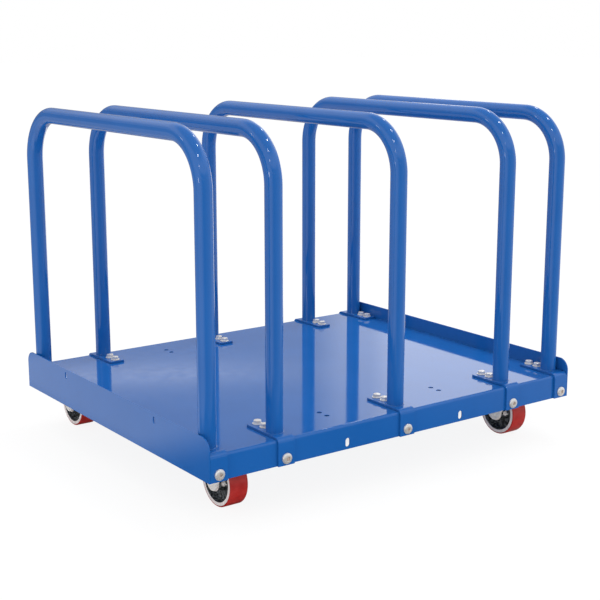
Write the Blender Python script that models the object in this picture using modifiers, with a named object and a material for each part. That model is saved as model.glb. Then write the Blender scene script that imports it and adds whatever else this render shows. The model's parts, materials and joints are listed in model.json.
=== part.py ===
"""Panel cart: a flanged steel deck on four swivel casters, with five bolted hoops that hold sheets on edge.

X runs along the deck, from one end plate to the other. Y runs from front to back, the way the hoops span and
the wheels roll. Z is up. The origin lies on the floor under the middle of the deck. All lengths are in metres.
"""

import math

import bmesh
import bpy
from mathutils import Matrix, Vector

# Clearances
SEAT_GAP = 0.0003
RUNNING_GAP = 0.0006
CUT_OVERRUN = 0.003
WELD_DISTANCE = 0.00001
SHARP_ANGLE = 35

# Hole stations along the deck: a hoop bolts on at five of the seven, and two stay open
HOLE_PITCH = 0.1524
STATION_COUNT = 7
HOOP_STATIONS = (0, 1, 3, 5, 6)

# Deck, bent from one sheet
DECK_DEPTH = 0.7874
DECK_SHEET = 0.00266
FLANGE_HEIGHT = 0.0521
DECK_BEND_RADIUS = 0.006
BEND_STEPS = 4

# Plates that close the deck's two ends and stand above it
END_PLATE_THICKNESS = 0.00266
END_PLATE_RISE = 0.0334
END_PLATE_CORNER_RADIUS = 0.0254
END_PLATE_CORNER_STEPS = 5
END_SLOT_WIDTH = 0.010
END_SLOT_HEIGHT = 0.015
END_SLOT_SPREAD = 0.393
END_SLOT_RISE = 0.0187

# Angle bracket under each hoop leg
BRACKET_WIDTH = 0.0381
BRACKET_THICKNESS = 0.00476
BRACKET_REACH = 0.1076
BRACKET_CORNER_RADIUS = 0.005
BRACKET_CORNER_STEPS = 3
BRACKET_SIDE_CLEARANCE = 0.0003

# Bolt holes through the brackets and the deck
BOLT_RADIUS = 0.00476
BOLT_HOLE_RADIUS = 0.0055
BOLT_HOLE_STEPS = 8
BOLT_ROW_PITCH = 0.0254
BOLT_EDGE_DISTANCE = 0.0127

# Button-head bolt through each bracket and the deck's flange
SIDE_BOLT_DROP = 0.0379
SIDE_BOLT_LENGTH = 0.018
SIDE_HEAD_RADIUS = 0.011
SIDE_HEAD_HEIGHT = 0.0055
SIDE_HEAD_FLAT_RADIUS = 0.0052
SIDE_HEAD_RIM = 0.0015
SIDE_HEAD_STEPS = 12
SIDE_SLOT_WIDTH = 0.0104
SIDE_SLOT_HEIGHT = 0.018
SLOT_END_STEPS = 4

# Hoops of round tube
TUBE_RADIUS = 0.0174
TUBE_WALL = 0.0021
HOOP_RISE = 0.5828
HOOP_BEND_RADIUS = 0.1016
HOOP_BEND_STEPS = 5
LEG_INSET = 0.03555
TUBE_BEVEL_RESOLUTION = 4
BORE_BEVEL_RESOLUTION = 2

# Where the casters sit under the deck
CASTER_INSET_ALONG = 0.0762
CASTER_INSET_ACROSS = 0.0778
CASTER_TRAIL = 0.0195

# Caster top plate and swivel
PLATE_LENGTH = 0.1143
PLATE_WIDTH = 0.1016
PLATE_THICKNESS = 0.00635
PLATE_BOLTS_ALONG = 0.0921
PLATE_BOLTS_ACROSS = 0.0667
RACE_OUTER_RADIUS = 0.034
RACE_WALL = 0.004
RACE_HEIGHT = 0.011
RACE_STEPS = 16
KINGPIN_RADIUS = 0.00635
KINGPIN_HEAD_RADIUS = 0.011
KINGPIN_HEAD_HEIGHT = 0.006
PIN_STEPS = 12

# Fork, bent from one plate, with the swivel's lower race on its crown
FORK_SHEET = 0.005
FORK_HALF_WIDTH = 0.031
CROWN_CLEARANCE = 0.01495
FORK_BEND_RADIUS = 0.010
FORK_CROWN_HALF_LENGTH = 0.030
FORK_SHOULDER_DROP = 0.016
FORK_END_RADIUS = 0.0195
FORK_END_STEPS = 8
LOWER_RACE_RADIUS = 0.024
LOWER_RACE_HEIGHT = 0.008

# Axle
AXLE_RADIUS = 0.00635
AXLE_HEAD_RADIUS = 0.0085
AXLE_HEAD_HEIGHT = 0.0018
AXLE_HEAD_CHAMFER = 0.0012
AXLE_END = 0.002
AXLE_NUT_ACROSS_FLATS = 0.019
AXLE_NUT_HEIGHT = 0.009
HEX_STEPS = 6
SLEEVE_WALL = 0.0034

# Wheel
WHEEL_RADIUS = 0.0525
WHEEL_WIDTH = 0.041
WHEEL_STEPS = 24
TREAD_THICKNESS = 0.0028
TREAD_SHOULDER_WIDTH = 0.0035
TREAD_SHOULDER_DROP = 0.0017
RIM_WALL = 0.0075
RIM_DRAFT = 0.002
WEB_THICKNESS = 0.010
HUB_RADIUS = 0.0182
HUB_DRAFT = 0.0015

# Finishes: colour, roughness, metallic
FINISHES = {
    "blue_powder_coat": ((0.02, 0.11, 0.42, 1.0), 0.25, 0.0),
    "zinc_plated_steel": ((0.72, 0.70, 0.66, 1.0), 0.35, 1.0),
    "red_polyurethane": ((0.45, 0.03, 0.02, 1.0), 0.35, 0.0),
    "dark_cast_iron": ((0.06, 0.06, 0.065, 1.0), 0.6, 0.4),
    "bearing_steel": ((0.6, 0.6, 0.62, 1.0), 0.2, 1.0),
}

# Sizes that follow from the ones above
HALF_DEPTH = DECK_DEPTH / 2
HOOP_SPAN = (STATION_COUNT - 1) * HOLE_PITCH
END_PLATE_INNER_X = HOOP_SPAN / 2 + BRACKET_WIDTH / 2 + BRACKET_SIDE_CLEARANCE
DECK_LENGTH = 2 * (END_PLATE_INNER_X - SEAT_GAP)
FORK_TOP = 2 * WHEEL_RADIUS + CROWN_CLEARANCE + FORK_SHEET
RACE_BOTTOM = FORK_TOP + RUNNING_GAP
PLATE_UNDERSIDE = RACE_BOTTOM + RACE_HEIGHT
CASTER_HEIGHT = PLATE_UNDERSIDE + PLATE_THICKNESS
DECK_UNDERSIDE = CASTER_HEIGHT + SEAT_GAP
DECK_TOP = DECK_UNDERSIDE + DECK_SHEET
FLANGE_BOTTOM = DECK_TOP - FLANGE_HEIGHT
BRACKET_SKIN = SEAT_GAP + BRACKET_THICKNESS
BOLT_ROWS = (BRACKET_REACH - BOLT_EDGE_DISTANCE, BRACKET_REACH - BOLT_EDGE_DISTANCE - BOLT_ROW_PITCH)
FORK_INNER_HALF = FORK_HALF_WIDTH - FORK_SHEET
SLEEVE_HALF_LENGTH = FORK_INNER_HALF - SEAT_GAP
SLEEVE_RADIUS = AXLE_RADIUS + SEAT_GAP + SLEEVE_WALL
HUB_HALF_LENGTH = FORK_INNER_HALF - RUNNING_GAP
TREAD_INNER_RADIUS = WHEEL_RADIUS - TREAD_THICKNESS
RIM_INNER_RADIUS = TREAD_INNER_RADIUS - RIM_WALL

# Turns that stand a piece made about Z along another axis
Z_TO_FRONT = Matrix.Rotation(math.radians(90), 4, "X")
Z_TO_LEFT = Matrix.Rotation(math.radians(-90), 4, "Y")
Z_TO_RIGHT = Matrix(((0, 0, 1, 0), (1, 0, 0, 0), (0, 1, 0, 0), (0, 0, 0, 1)))
HALF_TURN = Matrix.Rotation(math.pi, 4, "Z")
HALF_FACET = Matrix.Rotation(math.pi / WHEEL_STEPS, 4, "Z")


def station_x(station):
    """The place of a hole station along the deck."""
    return (station - (STATION_COUNT - 1) / 2) * HOLE_PITCH


def corner_radius(flat_radius, steps):
    """Corner radius of a faceted cylinder whose flats lie at the radius given."""
    return flat_radius / math.cos(math.pi / steps)


def arc(centre, radius, start, end, steps):
    """Points along an arc, its start and end angles in degrees."""
    points = []
    for step in range(steps + 1):
        angle = math.radians(start + (end - start) * step / steps)
        points.append((centre[0] + radius * math.cos(angle), centre[1] + radius * math.sin(angle)))
    return points


def slot_outline(width, height, steps):
    """A closed upright slot with round ends."""
    radius = width / 2
    rise = height / 2 - radius
    return arc((0, rise), radius, 0, 180, steps) + arc((0, -rise), radius, 180, 360, steps)


def circle_outline(radius, steps):
    """A closed circle of the corner radius given, with a facet square to each axis."""
    half_facet = 180 / steps
    return arc((0, 0), radius, half_facet, 360 - half_facet, steps - 1)


def shift(x=0.0, y=0.0, z=0.0):
    """The matrix that moves a piece to a place."""
    return Matrix.Translation(Vector((x, y, z)))


def clear_scene():
    """Remove whatever the file starts with."""
    for obj in list(bpy.data.objects):
        bpy.data.objects.remove(obj)


def make_collection(name):
    """A collection in the scene."""
    collection = bpy.data.collections.new(name)
    bpy.context.scene.collection.children.link(collection)
    return collection


def make_finish(name):
    """A Principled material for one finish."""
    colour, roughness, metallic = FINISHES[name]
    material = bpy.data.materials.new(name)
    material.use_nodes = True
    shader = material.node_tree.nodes["Principled BSDF"]
    shader.inputs["Base Color"].default_value = colour
    shader.inputs["Roughness"].default_value = roughness
    shader.inputs["Metallic"].default_value = metallic
    material.diffuse_color = colour
    return material


def scratch_object(data):
    """A working object in the cutters collection."""
    obj = bpy.data.objects.new(data.name, data)
    CUTTERS.objects.link(obj)
    obj.hide_render = True
    obj.display_type = "WIRE"
    return obj


def finished_mesh(obj):
    """The object's mesh with its modifiers or its curve bevel applied. The object is removed."""
    bpy.context.view_layer.update()
    evaluated = obj.evaluated_get(bpy.context.evaluated_depsgraph_get())
    mesh = bpy.data.meshes.new_from_object(evaluated)
    bpy.data.objects.remove(obj)
    work = bmesh.new()
    work.from_mesh(mesh)
    bmesh.ops.remove_doubles(work, verts=work.verts, dist=WELD_DISTANCE)
    work.to_mesh(mesh)
    work.free()
    return mesh


def turned_mesh(profile, steps, closed=False):
    """A profile of radius and height turned about Z. It runs down the outer side."""
    mesh = bpy.data.meshes.new("turned")
    count = len(profile)
    edges = [(index, index + 1) for index in range(count - 1)]
    if closed:
        edges.append((count - 1, 0))
    mesh.from_pydata([(radius, 0, height) for radius, height in profile], edges, [])
    obj = scratch_object(mesh)
    screw = obj.modifiers.new("turn", "SCREW")
    screw.steps = steps
    screw.render_steps = steps
    screw.use_merge_vertices = True
    screw.merge_threshold = WELD_DISTANCE
    return finished_mesh(obj)


def ring_mesh(bore, outer, bottom, top, steps):
    """A plain ring about Z whose bore clears the radius given."""
    inner = corner_radius(bore, steps)
    return turned_mesh([(inner, top), (outer, top), (outer, bottom), (inner, bottom)], steps, closed=True)


def prism_mesh(outlines, thickness):
    """Closed flat outlines in XY, the inner ones as holes, as thick as given about Z."""
    curve = bpy.data.curves.new("prism", "CURVE")
    curve.dimensions = "2D"
    curve.fill_mode = "BOTH"
    curve.extrude = thickness / 2
    for outline in outlines:
        spline = curve.splines.new("POLY")
        spline.points.add(len(outline) - 1)
        for point, place in zip(spline.points, outline):
            point.co = (place[0], place[1], 0, 1)
        spline.use_cyclic_u = True
    return finished_mesh(scratch_object(curve))


def hole_mesh(clear_radius, steps, thickness):
    """A cutter for a round hole through a wall, about Z."""
    return prism_mesh([circle_outline(corner_radius(clear_radius, steps), steps)], thickness + 2 * CUT_OVERRUN)


def tube_mesh(path, radius, resolution):
    """A round bar along a path in YZ."""
    curve = bpy.data.curves.new("tube", "CURVE")
    curve.dimensions = "3D"
    curve.bevel_depth = radius
    curve.bevel_resolution = resolution
    curve.use_fill_caps = True
    spline = curve.splines.new("POLY")
    spline.points.add(len(path) - 1)
    for point, place in zip(spline.points, path):
        point.co = (0, place[0], place[1], 1)
    return finished_mesh(scratch_object(curve))


def bent_sheet(path, width, thickness):
    """A sheet bent along a path in YZ and as wide as given in X, its wall on the path's inner side."""
    mesh = bpy.data.meshes.new("sheet")
    work = bmesh.new()
    left = [work.verts.new((-width / 2, y, z)) for y, z in path]
    right = [work.verts.new((width / 2, y, z)) for y, z in path]
    for index in range(len(path) - 1):
        work.faces.new((left[index], right[index], right[index + 1], left[index + 1]))
    work.to_mesh(mesh)
    work.free()
    obj = scratch_object(mesh)
    wall = obj.modifiers.new("wall", "SOLIDIFY")
    wall.thickness = thickness
    wall.offset = -1
    wall.use_even_offset = True
    return obj


def gathered_mesh(mesh, places):
    """One mesh that holds a copy at every place, for a cutter with many holes."""
    gathered = bmesh.new()
    for place in places:
        first = len(gathered.verts)
        gathered.from_mesh(mesh)
        gathered.verts.ensure_lookup_table()
        bmesh.ops.transform(gathered, matrix=place, verts=gathered.verts[first:])
    result = bpy.data.meshes.new(mesh.name)
    gathered.to_mesh(result)
    gathered.free()
    return result


def shape(obj, other_mesh, operation="DIFFERENCE"):
    """Cut an object with a mesh, join it to one or keep what they share."""
    modifier = obj.modifiers.new(operation.lower(), "BOOLEAN")
    modifier.operation = operation
    modifier.object = scratch_object(other_mesh)


def node(name, mesh, finish, place=Matrix.Identity(4), parent=None):
    """A named piece of the cart with its finish."""
    obj = bpy.data.objects.new(name, mesh)
    PARTS.objects.link(obj)
    if not mesh.materials:
        mesh.materials.append(MATERIALS[finish])
        mesh.shade_smooth()
        mesh.set_sharp_from_angle(angle=math.radians(SHARP_ANGLE))
    obj.parent = parent
    obj.matrix_local = place


def pivot(name, place, parent=None):
    """An empty on a joint's axis."""
    empty = bpy.data.objects.new(name, None)
    PARTS.objects.link(empty)
    empty.empty_display_size = WHEEL_RADIUS
    empty.parent = parent
    empty.matrix_local = place
    return empty


def deck_sides():
    """Each long side of the deck: its name, its direction in Y and the turn that faces a piece to it."""
    return (("front", -1, Matrix.Identity(4)), ("back", 1, HALF_TURN))


def make_deck():
    """The deck sheet with its front and back flanges, bolt holes and flange slots."""
    rim = HALF_DEPTH - DECK_BEND_RADIUS
    bend_z = DECK_TOP - DECK_BEND_RADIUS
    path = [(-HALF_DEPTH, FLANGE_BOTTOM)]
    path += arc((-rim, bend_z), DECK_BEND_RADIUS, 180, 90, BEND_STEPS)
    path += arc((rim, bend_z), DECK_BEND_RADIUS, 90, 0, BEND_STEPS)
    path.append((HALF_DEPTH, FLANGE_BOTTOM))
    deck = bent_sheet(path, DECK_LENGTH, DECK_SHEET)
    hole = hole_mesh(BOLT_HOLE_RADIUS, BOLT_HOLE_STEPS, DECK_SHEET)
    outline = slot_outline(SIDE_SLOT_WIDTH, SIDE_SLOT_HEIGHT, SLOT_END_STEPS)
    slot = prism_mesh([outline], DECK_SHEET + 2 * CUT_OVERRUN)
    holes = []
    slots = []
    for station in range(STATION_COUNT):
        x = station_x(station)
        for _, side, _ in deck_sides():
            for row in BOLT_ROWS:
                holes.append(shift(x, side * (HALF_DEPTH - row), DECK_TOP - DECK_SHEET / 2))
            middle = side * (HALF_DEPTH - DECK_SHEET / 2)
            slots.append(shift(x, middle, DECK_TOP - SIDE_BOLT_DROP) @ Z_TO_FRONT)
    shape(deck, gathered_mesh(hole, holes))
    shape(deck, gathered_mesh(slot, slots))
    node("deck_platform", finished_mesh(deck), "blue_powder_coat")


def make_end_plates():
    """The two end plates, flush with the brackets' outer faces, each with two slots above the deck."""
    half = HALF_DEPTH + BRACKET_SKIN
    top = DECK_TOP + END_PLATE_RISE
    corner = END_PLATE_CORNER_RADIUS
    outline = arc((half - corner, top - corner), corner, 0, 90, END_PLATE_CORNER_STEPS)
    outline += arc((corner - half, top - corner), corner, 90, 180, END_PLATE_CORNER_STEPS)
    outline += [(-half, FLANGE_BOTTOM), (half, FLANGE_BOTTOM)]
    outlines = [outline]
    for side in (-1, 1):
        slot = slot_outline(END_SLOT_WIDTH, END_SLOT_HEIGHT, SLOT_END_STEPS)
        outlines.append([(y + side * END_SLOT_SPREAD / 2, z + DECK_TOP + END_SLOT_RISE) for y, z in slot])
    mesh = prism_mesh(outlines, END_PLATE_THICKNESS)
    middle = END_PLATE_INNER_X + END_PLATE_THICKNESS / 2
    node("left_end_plate", mesh, "blue_powder_coat", shift(x=-middle) @ Z_TO_RIGHT)
    node("right_end_plate", mesh, "blue_powder_coat", shift(x=middle) @ Z_TO_RIGHT)


def bracket_outline():
    """A bracket seen from above, with round corners at its inboard end."""
    half = BRACKET_WIDTH / 2
    corner = BRACKET_CORNER_RADIUS
    outer = -BRACKET_SKIN - CUT_OVERRUN
    outline = arc((half - corner, BRACKET_REACH - corner), corner, 0, 90, BRACKET_CORNER_STEPS)
    outline += arc((corner - half, BRACKET_REACH - corner), corner, 90, 180, BRACKET_CORNER_STEPS)
    outline += [(-half, outer), (half, outer)]
    return outline


def bracket_mesh():
    """A bracket about the deck's front edge, the deck's top at zero height and its flange's face at zero in Y."""
    radius = DECK_BEND_RADIUS + BRACKET_SKIN
    path = [(-BRACKET_SKIN, -FLANGE_HEIGHT)]
    path += arc((DECK_BEND_RADIUS, -DECK_BEND_RADIUS), radius, 180, 90, BEND_STEPS)
    path.append((BRACKET_REACH + CUT_OVERRUN, BRACKET_SKIN))
    bracket = bent_sheet(path, BRACKET_WIDTH + 2 * CUT_OVERRUN, BRACKET_THICKNESS)
    shape(bracket, prism_mesh([bracket_outline()], 2 * (FLANGE_HEIGHT + CUT_OVERRUN)), "INTERSECT")
    middle = BRACKET_SKIN - BRACKET_THICKNESS / 2
    places = [shift(y=row, z=middle) for row in BOLT_ROWS]
    places.append(shift(y=-middle, z=-SIDE_BOLT_DROP) @ Z_TO_FRONT)
    hole = hole_mesh(BOLT_HOLE_RADIUS, BOLT_HOLE_STEPS, BRACKET_THICKNESS)
    shape(bracket, gathered_mesh(hole, places))
    return finished_mesh(bracket)


def side_bolt_mesh():
    """A button-head bolt about Z, the underside of its head at zero."""
    profile = [(0, SIDE_HEAD_HEIGHT), (SIDE_HEAD_FLAT_RADIUS, SIDE_HEAD_HEIGHT),
               (SIDE_HEAD_RADIUS, SIDE_HEAD_RIM), (SIDE_HEAD_RADIUS, 0),
               (BOLT_RADIUS, 0), (BOLT_RADIUS, -SIDE_BOLT_LENGTH), (0, -SIDE_BOLT_LENGTH)]
    return turned_mesh(profile, SIDE_HEAD_STEPS)


def hoop_path(overrun):
    """The hoop's centreline in YZ, from foot to foot, its ends lengthened by the overrun."""
    span = HALF_DEPTH - LEG_INSET
    foot = DECK_TOP + BRACKET_SKIN + SEAT_GAP - overrun
    bend_y = span - HOOP_BEND_RADIUS
    bend_z = DECK_TOP + HOOP_RISE - HOOP_BEND_RADIUS
    path = [(-span, foot)]
    path += arc((-bend_y, bend_z), HOOP_BEND_RADIUS, 180, 90, HOOP_BEND_STEPS)
    path += arc((bend_y, bend_z), HOOP_BEND_RADIUS, 90, 0, HOOP_BEND_STEPS)
    path.append((span, foot))
    return path


def hoop_mesh():
    """A hoop of bent tube, open at its feet."""
    hoop = scratch_object(tube_mesh(hoop_path(0), TUBE_RADIUS, TUBE_BEVEL_RESOLUTION))
    shape(hoop, tube_mesh(hoop_path(CUT_OVERRUN), TUBE_RADIUS - TUBE_WALL, BORE_BEVEL_RESOLUTION))
    return finished_mesh(hoop)


def make_hoops():
    """The five hoops with a bracket and a button-head bolt at each foot."""
    hoop = hoop_mesh()
    bracket = bracket_mesh()
    bolt = side_bolt_mesh()
    seat = shift(y=-BRACKET_SKIN - SEAT_GAP, z=-SIDE_BOLT_DROP) @ Z_TO_FRONT
    for number, station in enumerate(HOOP_STATIONS, 1):
        x = station_x(station)
        node(f"hoop_{number}", hoop, "blue_powder_coat", shift(x=x))
        for name, side, turn in deck_sides():
            edge = shift(x, side * HALF_DEPTH, DECK_TOP) @ turn
            node(f"hoop_{number}_{name}_bracket", bracket, "blue_powder_coat", edge)
            node(f"hoop_{number}_{name}_bolt", bolt, "zinc_plated_steel", edge @ seat)


def caster_plate_mesh():
    """A caster's top plate with the swivel's upper race under it, the plate's top at zero."""
    plate = bpy.data.meshes.new("plate")
    work = bmesh.new()
    bmesh.ops.create_cube(work, size=1)
    bmesh.ops.scale(work, vec=(PLATE_LENGTH, PLATE_WIDTH, PLATE_THICKNESS), verts=work.verts)
    bmesh.ops.translate(work, vec=(0, 0, -PLATE_THICKNESS / 2), verts=work.verts)
    work.to_mesh(plate)
    work.free()
    solid = scratch_object(plate)
    race_bottom = -PLATE_THICKNESS - RACE_HEIGHT
    race_inner = RACE_OUTER_RADIUS - RACE_WALL
    race = ring_mesh(race_inner, RACE_OUTER_RADIUS, race_bottom, -PLATE_THICKNESS / 2, RACE_STEPS)
    shape(solid, race, "UNION")
    places = [shift(side_x * PLATE_BOLTS_ALONG / 2, side_y * PLATE_BOLTS_ACROSS / 2, -PLATE_THICKNESS / 2)
              for side_x in (-1, 1) for side_y in (-1, 1)]
    shape(solid, gathered_mesh(hole_mesh(BOLT_HOLE_RADIUS, BOLT_HOLE_STEPS, PLATE_THICKNESS), places))
    bore = hole_mesh(KINGPIN_RADIUS + SEAT_GAP, PIN_STEPS, PLATE_THICKNESS)
    shape(solid, gathered_mesh(bore, [shift(z=-PLATE_THICKNESS / 2)]))
    return finished_mesh(solid)


def kingpin_mesh():
    """The pin that the fork turns on, its top at zero and its head under the fork's crown."""
    head_top = FORK_TOP - FORK_SHEET - SEAT_GAP - CASTER_HEIGHT
    head_bottom = head_top - KINGPIN_HEAD_HEIGHT
    profile = [(0, 0), (KINGPIN_RADIUS, 0), (KINGPIN_RADIUS, head_top),
               (KINGPIN_HEAD_RADIUS, head_top), (KINGPIN_HEAD_RADIUS, head_bottom), (0, head_bottom)]
    return turned_mesh(profile, PIN_STEPS)


def touch_angle(point, centre, radius, turn):
    """Angle in degrees at which a line from the point touches the circle, on the side that turn gives."""
    offset = Vector(point) - Vector(centre)
    spread = math.acos(radius / offset.length)
    return math.degrees(math.atan2(offset.y, offset.x) + turn * spread)


def fork_outline():
    """The fork seen from its side, in YZ, with legs that reach back to a round end about the axle."""
    shoulder = FORK_TOP - FORK_SHOULDER_DROP
    front = (-FORK_CROWN_HALF_LENGTH, shoulder)
    back = (FORK_CROWN_HALF_LENGTH, shoulder)
    axle = (CASTER_TRAIL, WHEEL_RADIUS)
    start = touch_angle(front, axle, FORK_END_RADIUS, 1)
    end = touch_angle(back, axle, FORK_END_RADIUS, -1) + 360
    top = FORK_TOP + CUT_OVERRUN
    outline = [(-FORK_CROWN_HALF_LENGTH, top), front]
    outline += arc(axle, FORK_END_RADIUS, start, end, FORK_END_STEPS)
    outline += [back, (FORK_CROWN_HALF_LENGTH, top)]
    return outline


def fork_mesh():
    """A caster's fork about its swivel axis: a crown with the lower race, bent down into two legs."""
    edge = FORK_HALF_WIDTH - FORK_BEND_RADIUS
    bend_z = FORK_TOP - FORK_BEND_RADIUS
    leg_bottom = WHEEL_RADIUS - FORK_END_RADIUS - CUT_OVERRUN
    path = [(-FORK_HALF_WIDTH, leg_bottom)]
    path += arc((-edge, bend_z), FORK_BEND_RADIUS, 180, 90, BEND_STEPS)
    path += arc((edge, bend_z), FORK_BEND_RADIUS, 90, 0, BEND_STEPS)
    path.append((FORK_HALF_WIDTH, leg_bottom))
    reach = 2 * (FORK_CROWN_HALF_LENGTH + CASTER_TRAIL + FORK_END_RADIUS)
    sheet = finished_mesh(bent_sheet(path, reach, FORK_SHEET))
    sheet.transform(Matrix.Rotation(math.radians(-90), 4, "Z"))
    fork = scratch_object(sheet)
    side_view = prism_mesh([fork_outline()], 2 * (FORK_HALF_WIDTH + CUT_OVERRUN))
    side_view.transform(Z_TO_RIGHT)
    shape(fork, side_view, "INTERSECT")
    crown_middle = FORK_TOP - FORK_SHEET / 2
    pin_bore = KINGPIN_RADIUS + RUNNING_GAP
    race_top = FORK_TOP + LOWER_RACE_HEIGHT
    shape(fork, ring_mesh(pin_bore, LOWER_RACE_RADIUS, crown_middle, race_top, RACE_STEPS), "UNION")
    bore = hole_mesh(pin_bore, RACE_STEPS, FORK_SHEET + 2 * LOWER_RACE_HEIGHT)
    bore.transform(shift(z=FORK_TOP))
    shape(fork, bore)
    axle_hole = hole_mesh(AXLE_RADIUS + SEAT_GAP, PIN_STEPS, 2 * FORK_HALF_WIDTH)
    axle_hole.transform(shift(y=CASTER_TRAIL, z=WHEEL_RADIUS) @ Z_TO_RIGHT)
    shape(fork, axle_hole)
    return finished_mesh(fork)


def axle_meshes():
    """The axle bolt, its nut and the sleeve that its nut clamps between the legs, the bolt's head upwards."""
    head_bottom = FORK_HALF_WIDTH + SEAT_GAP
    head_top = head_bottom + AXLE_HEAD_HEIGHT
    nut_top = -head_bottom
    nut_bottom = nut_top - AXLE_NUT_HEIGHT
    tip = nut_bottom - AXLE_END
    profile = [(0, head_top), (AXLE_HEAD_RADIUS - AXLE_HEAD_CHAMFER, head_top),
               (AXLE_HEAD_RADIUS, head_top - AXLE_HEAD_CHAMFER), (AXLE_HEAD_RADIUS, head_bottom),
               (AXLE_RADIUS, head_bottom), (AXLE_RADIUS, tip), (0, tip)]
    bolt = turned_mesh(profile, PIN_STEPS)
    bore = AXLE_RADIUS + SEAT_GAP
    nut_corner = corner_radius(AXLE_NUT_ACROSS_FLATS / 2, HEX_STEPS)
    nut = ring_mesh(bore, nut_corner, nut_bottom, nut_top, HEX_STEPS)
    sleeve = ring_mesh(bore, SLEEVE_RADIUS, -SLEEVE_HALF_LENGTH, SLEEVE_HALF_LENGTH, PIN_STEPS)
    return bolt, nut, sleeve


def both_sides(half_profile):
    """A closed profile from its upper half, which ends on the outer side."""
    return half_profile + [(radius, -height) for radius, height in reversed(half_profile)]


def wheel_meshes():
    """The wheel's iron core and its tread, about Z."""
    half = WHEEL_WIDTH / 2
    web = WEB_THICKNESS / 2
    bore = corner_radius(SLEEVE_RADIUS + RUNNING_GAP, WHEEL_STEPS)
    rim_radius = TREAD_INNER_RADIUS - SEAT_GAP
    core = turned_mesh(both_sides([
        (bore, HUB_HALF_LENGTH), (HUB_RADIUS, HUB_HALF_LENGTH), (HUB_RADIUS + HUB_DRAFT, web),
        (RIM_INNER_RADIUS - RIM_DRAFT, web), (RIM_INNER_RADIUS, half), (rim_radius, half),
    ]), WHEEL_STEPS, closed=True)
    inner = corner_radius(TREAD_INNER_RADIUS, WHEEL_STEPS)
    outer = corner_radius(WHEEL_RADIUS, WHEEL_STEPS)
    tread = turned_mesh(both_sides([
        (inner, half), (outer - TREAD_SHOULDER_DROP, half), (outer, half - TREAD_SHOULDER_WIDTH),
    ]), WHEEL_STEPS, closed=True)
    return core, tread


def caster_spots():
    """The name and swivel axis of each caster."""
    along = HOOP_SPAN / 2 - CASTER_INSET_ALONG
    across = HALF_DEPTH - CASTER_INSET_ACROSS
    return (("front_left", -along, -across), ("front_right", along, -across),
            ("back_left", -along, across), ("back_right", along, across))


def make_casters():
    """The four swivel casters, all trailing towards the back."""
    plate = caster_plate_mesh()
    kingpin = kingpin_mesh()
    fork = fork_mesh()
    bolt, nut, sleeve = axle_meshes()
    core, tread = wheel_meshes()
    axle = shift(y=CASTER_TRAIL, z=WHEEL_RADIUS)
    for name, x, y in caster_spots():
        node(f"{name}_caster_plate", plate, "zinc_plated_steel", shift(x, y, CASTER_HEIGHT))
        node(f"{name}_kingpin", kingpin, "zinc_plated_steel", shift(x, y, CASTER_HEIGHT))
        swivel = pivot(f"{name}_swivel_axis", shift(x, y))
        node(f"{name}_fork", fork, "zinc_plated_steel", parent=swivel)
        node(f"{name}_axle_bolt", bolt, "zinc_plated_steel", axle @ Z_TO_LEFT, swivel)
        node(f"{name}_axle_nut", nut, "zinc_plated_steel", axle @ Z_TO_LEFT, swivel)
        node(f"{name}_axle_sleeve", sleeve, "bearing_steel", axle @ Z_TO_LEFT, swivel)
        wheel = pivot(f"{name}_wheel_axis", axle, swivel)
        node(f"{name}_wheel_core", core, "dark_cast_iron", Z_TO_RIGHT @ HALF_FACET, wheel)
        node(f"{name}_wheel_tread", tread, "red_polyurethane", Z_TO_RIGHT @ HALF_FACET, wheel)


clear_scene()
PARTS = make_collection("panel_cart")
CUTTERS = make_collection("cutters")
MATERIALS = {name: make_finish(name) for name in FINISHES}
make_deck()
make_end_plates()
make_hoops()
make_casters()
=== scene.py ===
"""The looks of the panel cart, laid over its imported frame.

X runs along the deck, Y from front to back, Z up from the floor. All lengths are in metres and the named
angles in degrees.
"""

import json
import math

import bmesh
import bpy
from mathutils import Matrix, Vector


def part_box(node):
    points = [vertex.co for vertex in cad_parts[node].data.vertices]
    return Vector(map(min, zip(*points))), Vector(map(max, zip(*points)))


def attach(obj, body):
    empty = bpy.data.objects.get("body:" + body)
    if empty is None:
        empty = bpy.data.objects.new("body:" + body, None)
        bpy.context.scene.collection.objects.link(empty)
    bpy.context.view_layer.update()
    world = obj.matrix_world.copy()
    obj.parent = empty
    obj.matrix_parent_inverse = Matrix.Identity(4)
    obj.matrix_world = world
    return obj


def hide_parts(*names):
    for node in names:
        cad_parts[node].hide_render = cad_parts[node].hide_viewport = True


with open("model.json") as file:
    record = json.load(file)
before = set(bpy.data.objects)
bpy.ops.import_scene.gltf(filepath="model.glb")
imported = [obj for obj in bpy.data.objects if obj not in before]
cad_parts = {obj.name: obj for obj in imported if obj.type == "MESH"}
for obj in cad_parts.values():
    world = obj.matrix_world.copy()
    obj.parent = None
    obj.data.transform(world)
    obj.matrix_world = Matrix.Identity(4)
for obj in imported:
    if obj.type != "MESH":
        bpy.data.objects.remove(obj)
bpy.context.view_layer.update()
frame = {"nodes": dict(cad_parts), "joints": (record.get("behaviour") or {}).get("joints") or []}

# Working tolerances
WELD = 0.000001
SHARP_ANGLE = 32
CUT_OVERRUN = 0.003
SEAT_GAP = 0.0003
SAME_LEVEL = 0.00001
ROUND_ANGLE = 60

# Sheet metal: deck, end plates
SHEET = 0.00266
DECK_BEND_RADIUS = 0.006
SHEET_EDGE = 0.0004
BEND_STEPS = 12
HOLE_PITCH = 0.1524
STATION_COUNT = 7
HOLE_RADIUS = 0.0055
HOLE_STEPS = 32
FLANGE_SLOT = (0.0104, 0.018)
END_CORNER_RADIUS = 0.0254
END_SLOT = (0.010, 0.015)
END_SLOT_SPREAD = 0.393
END_SLOT_RISE = 0.0187
ARC_STEPS = 20

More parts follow.
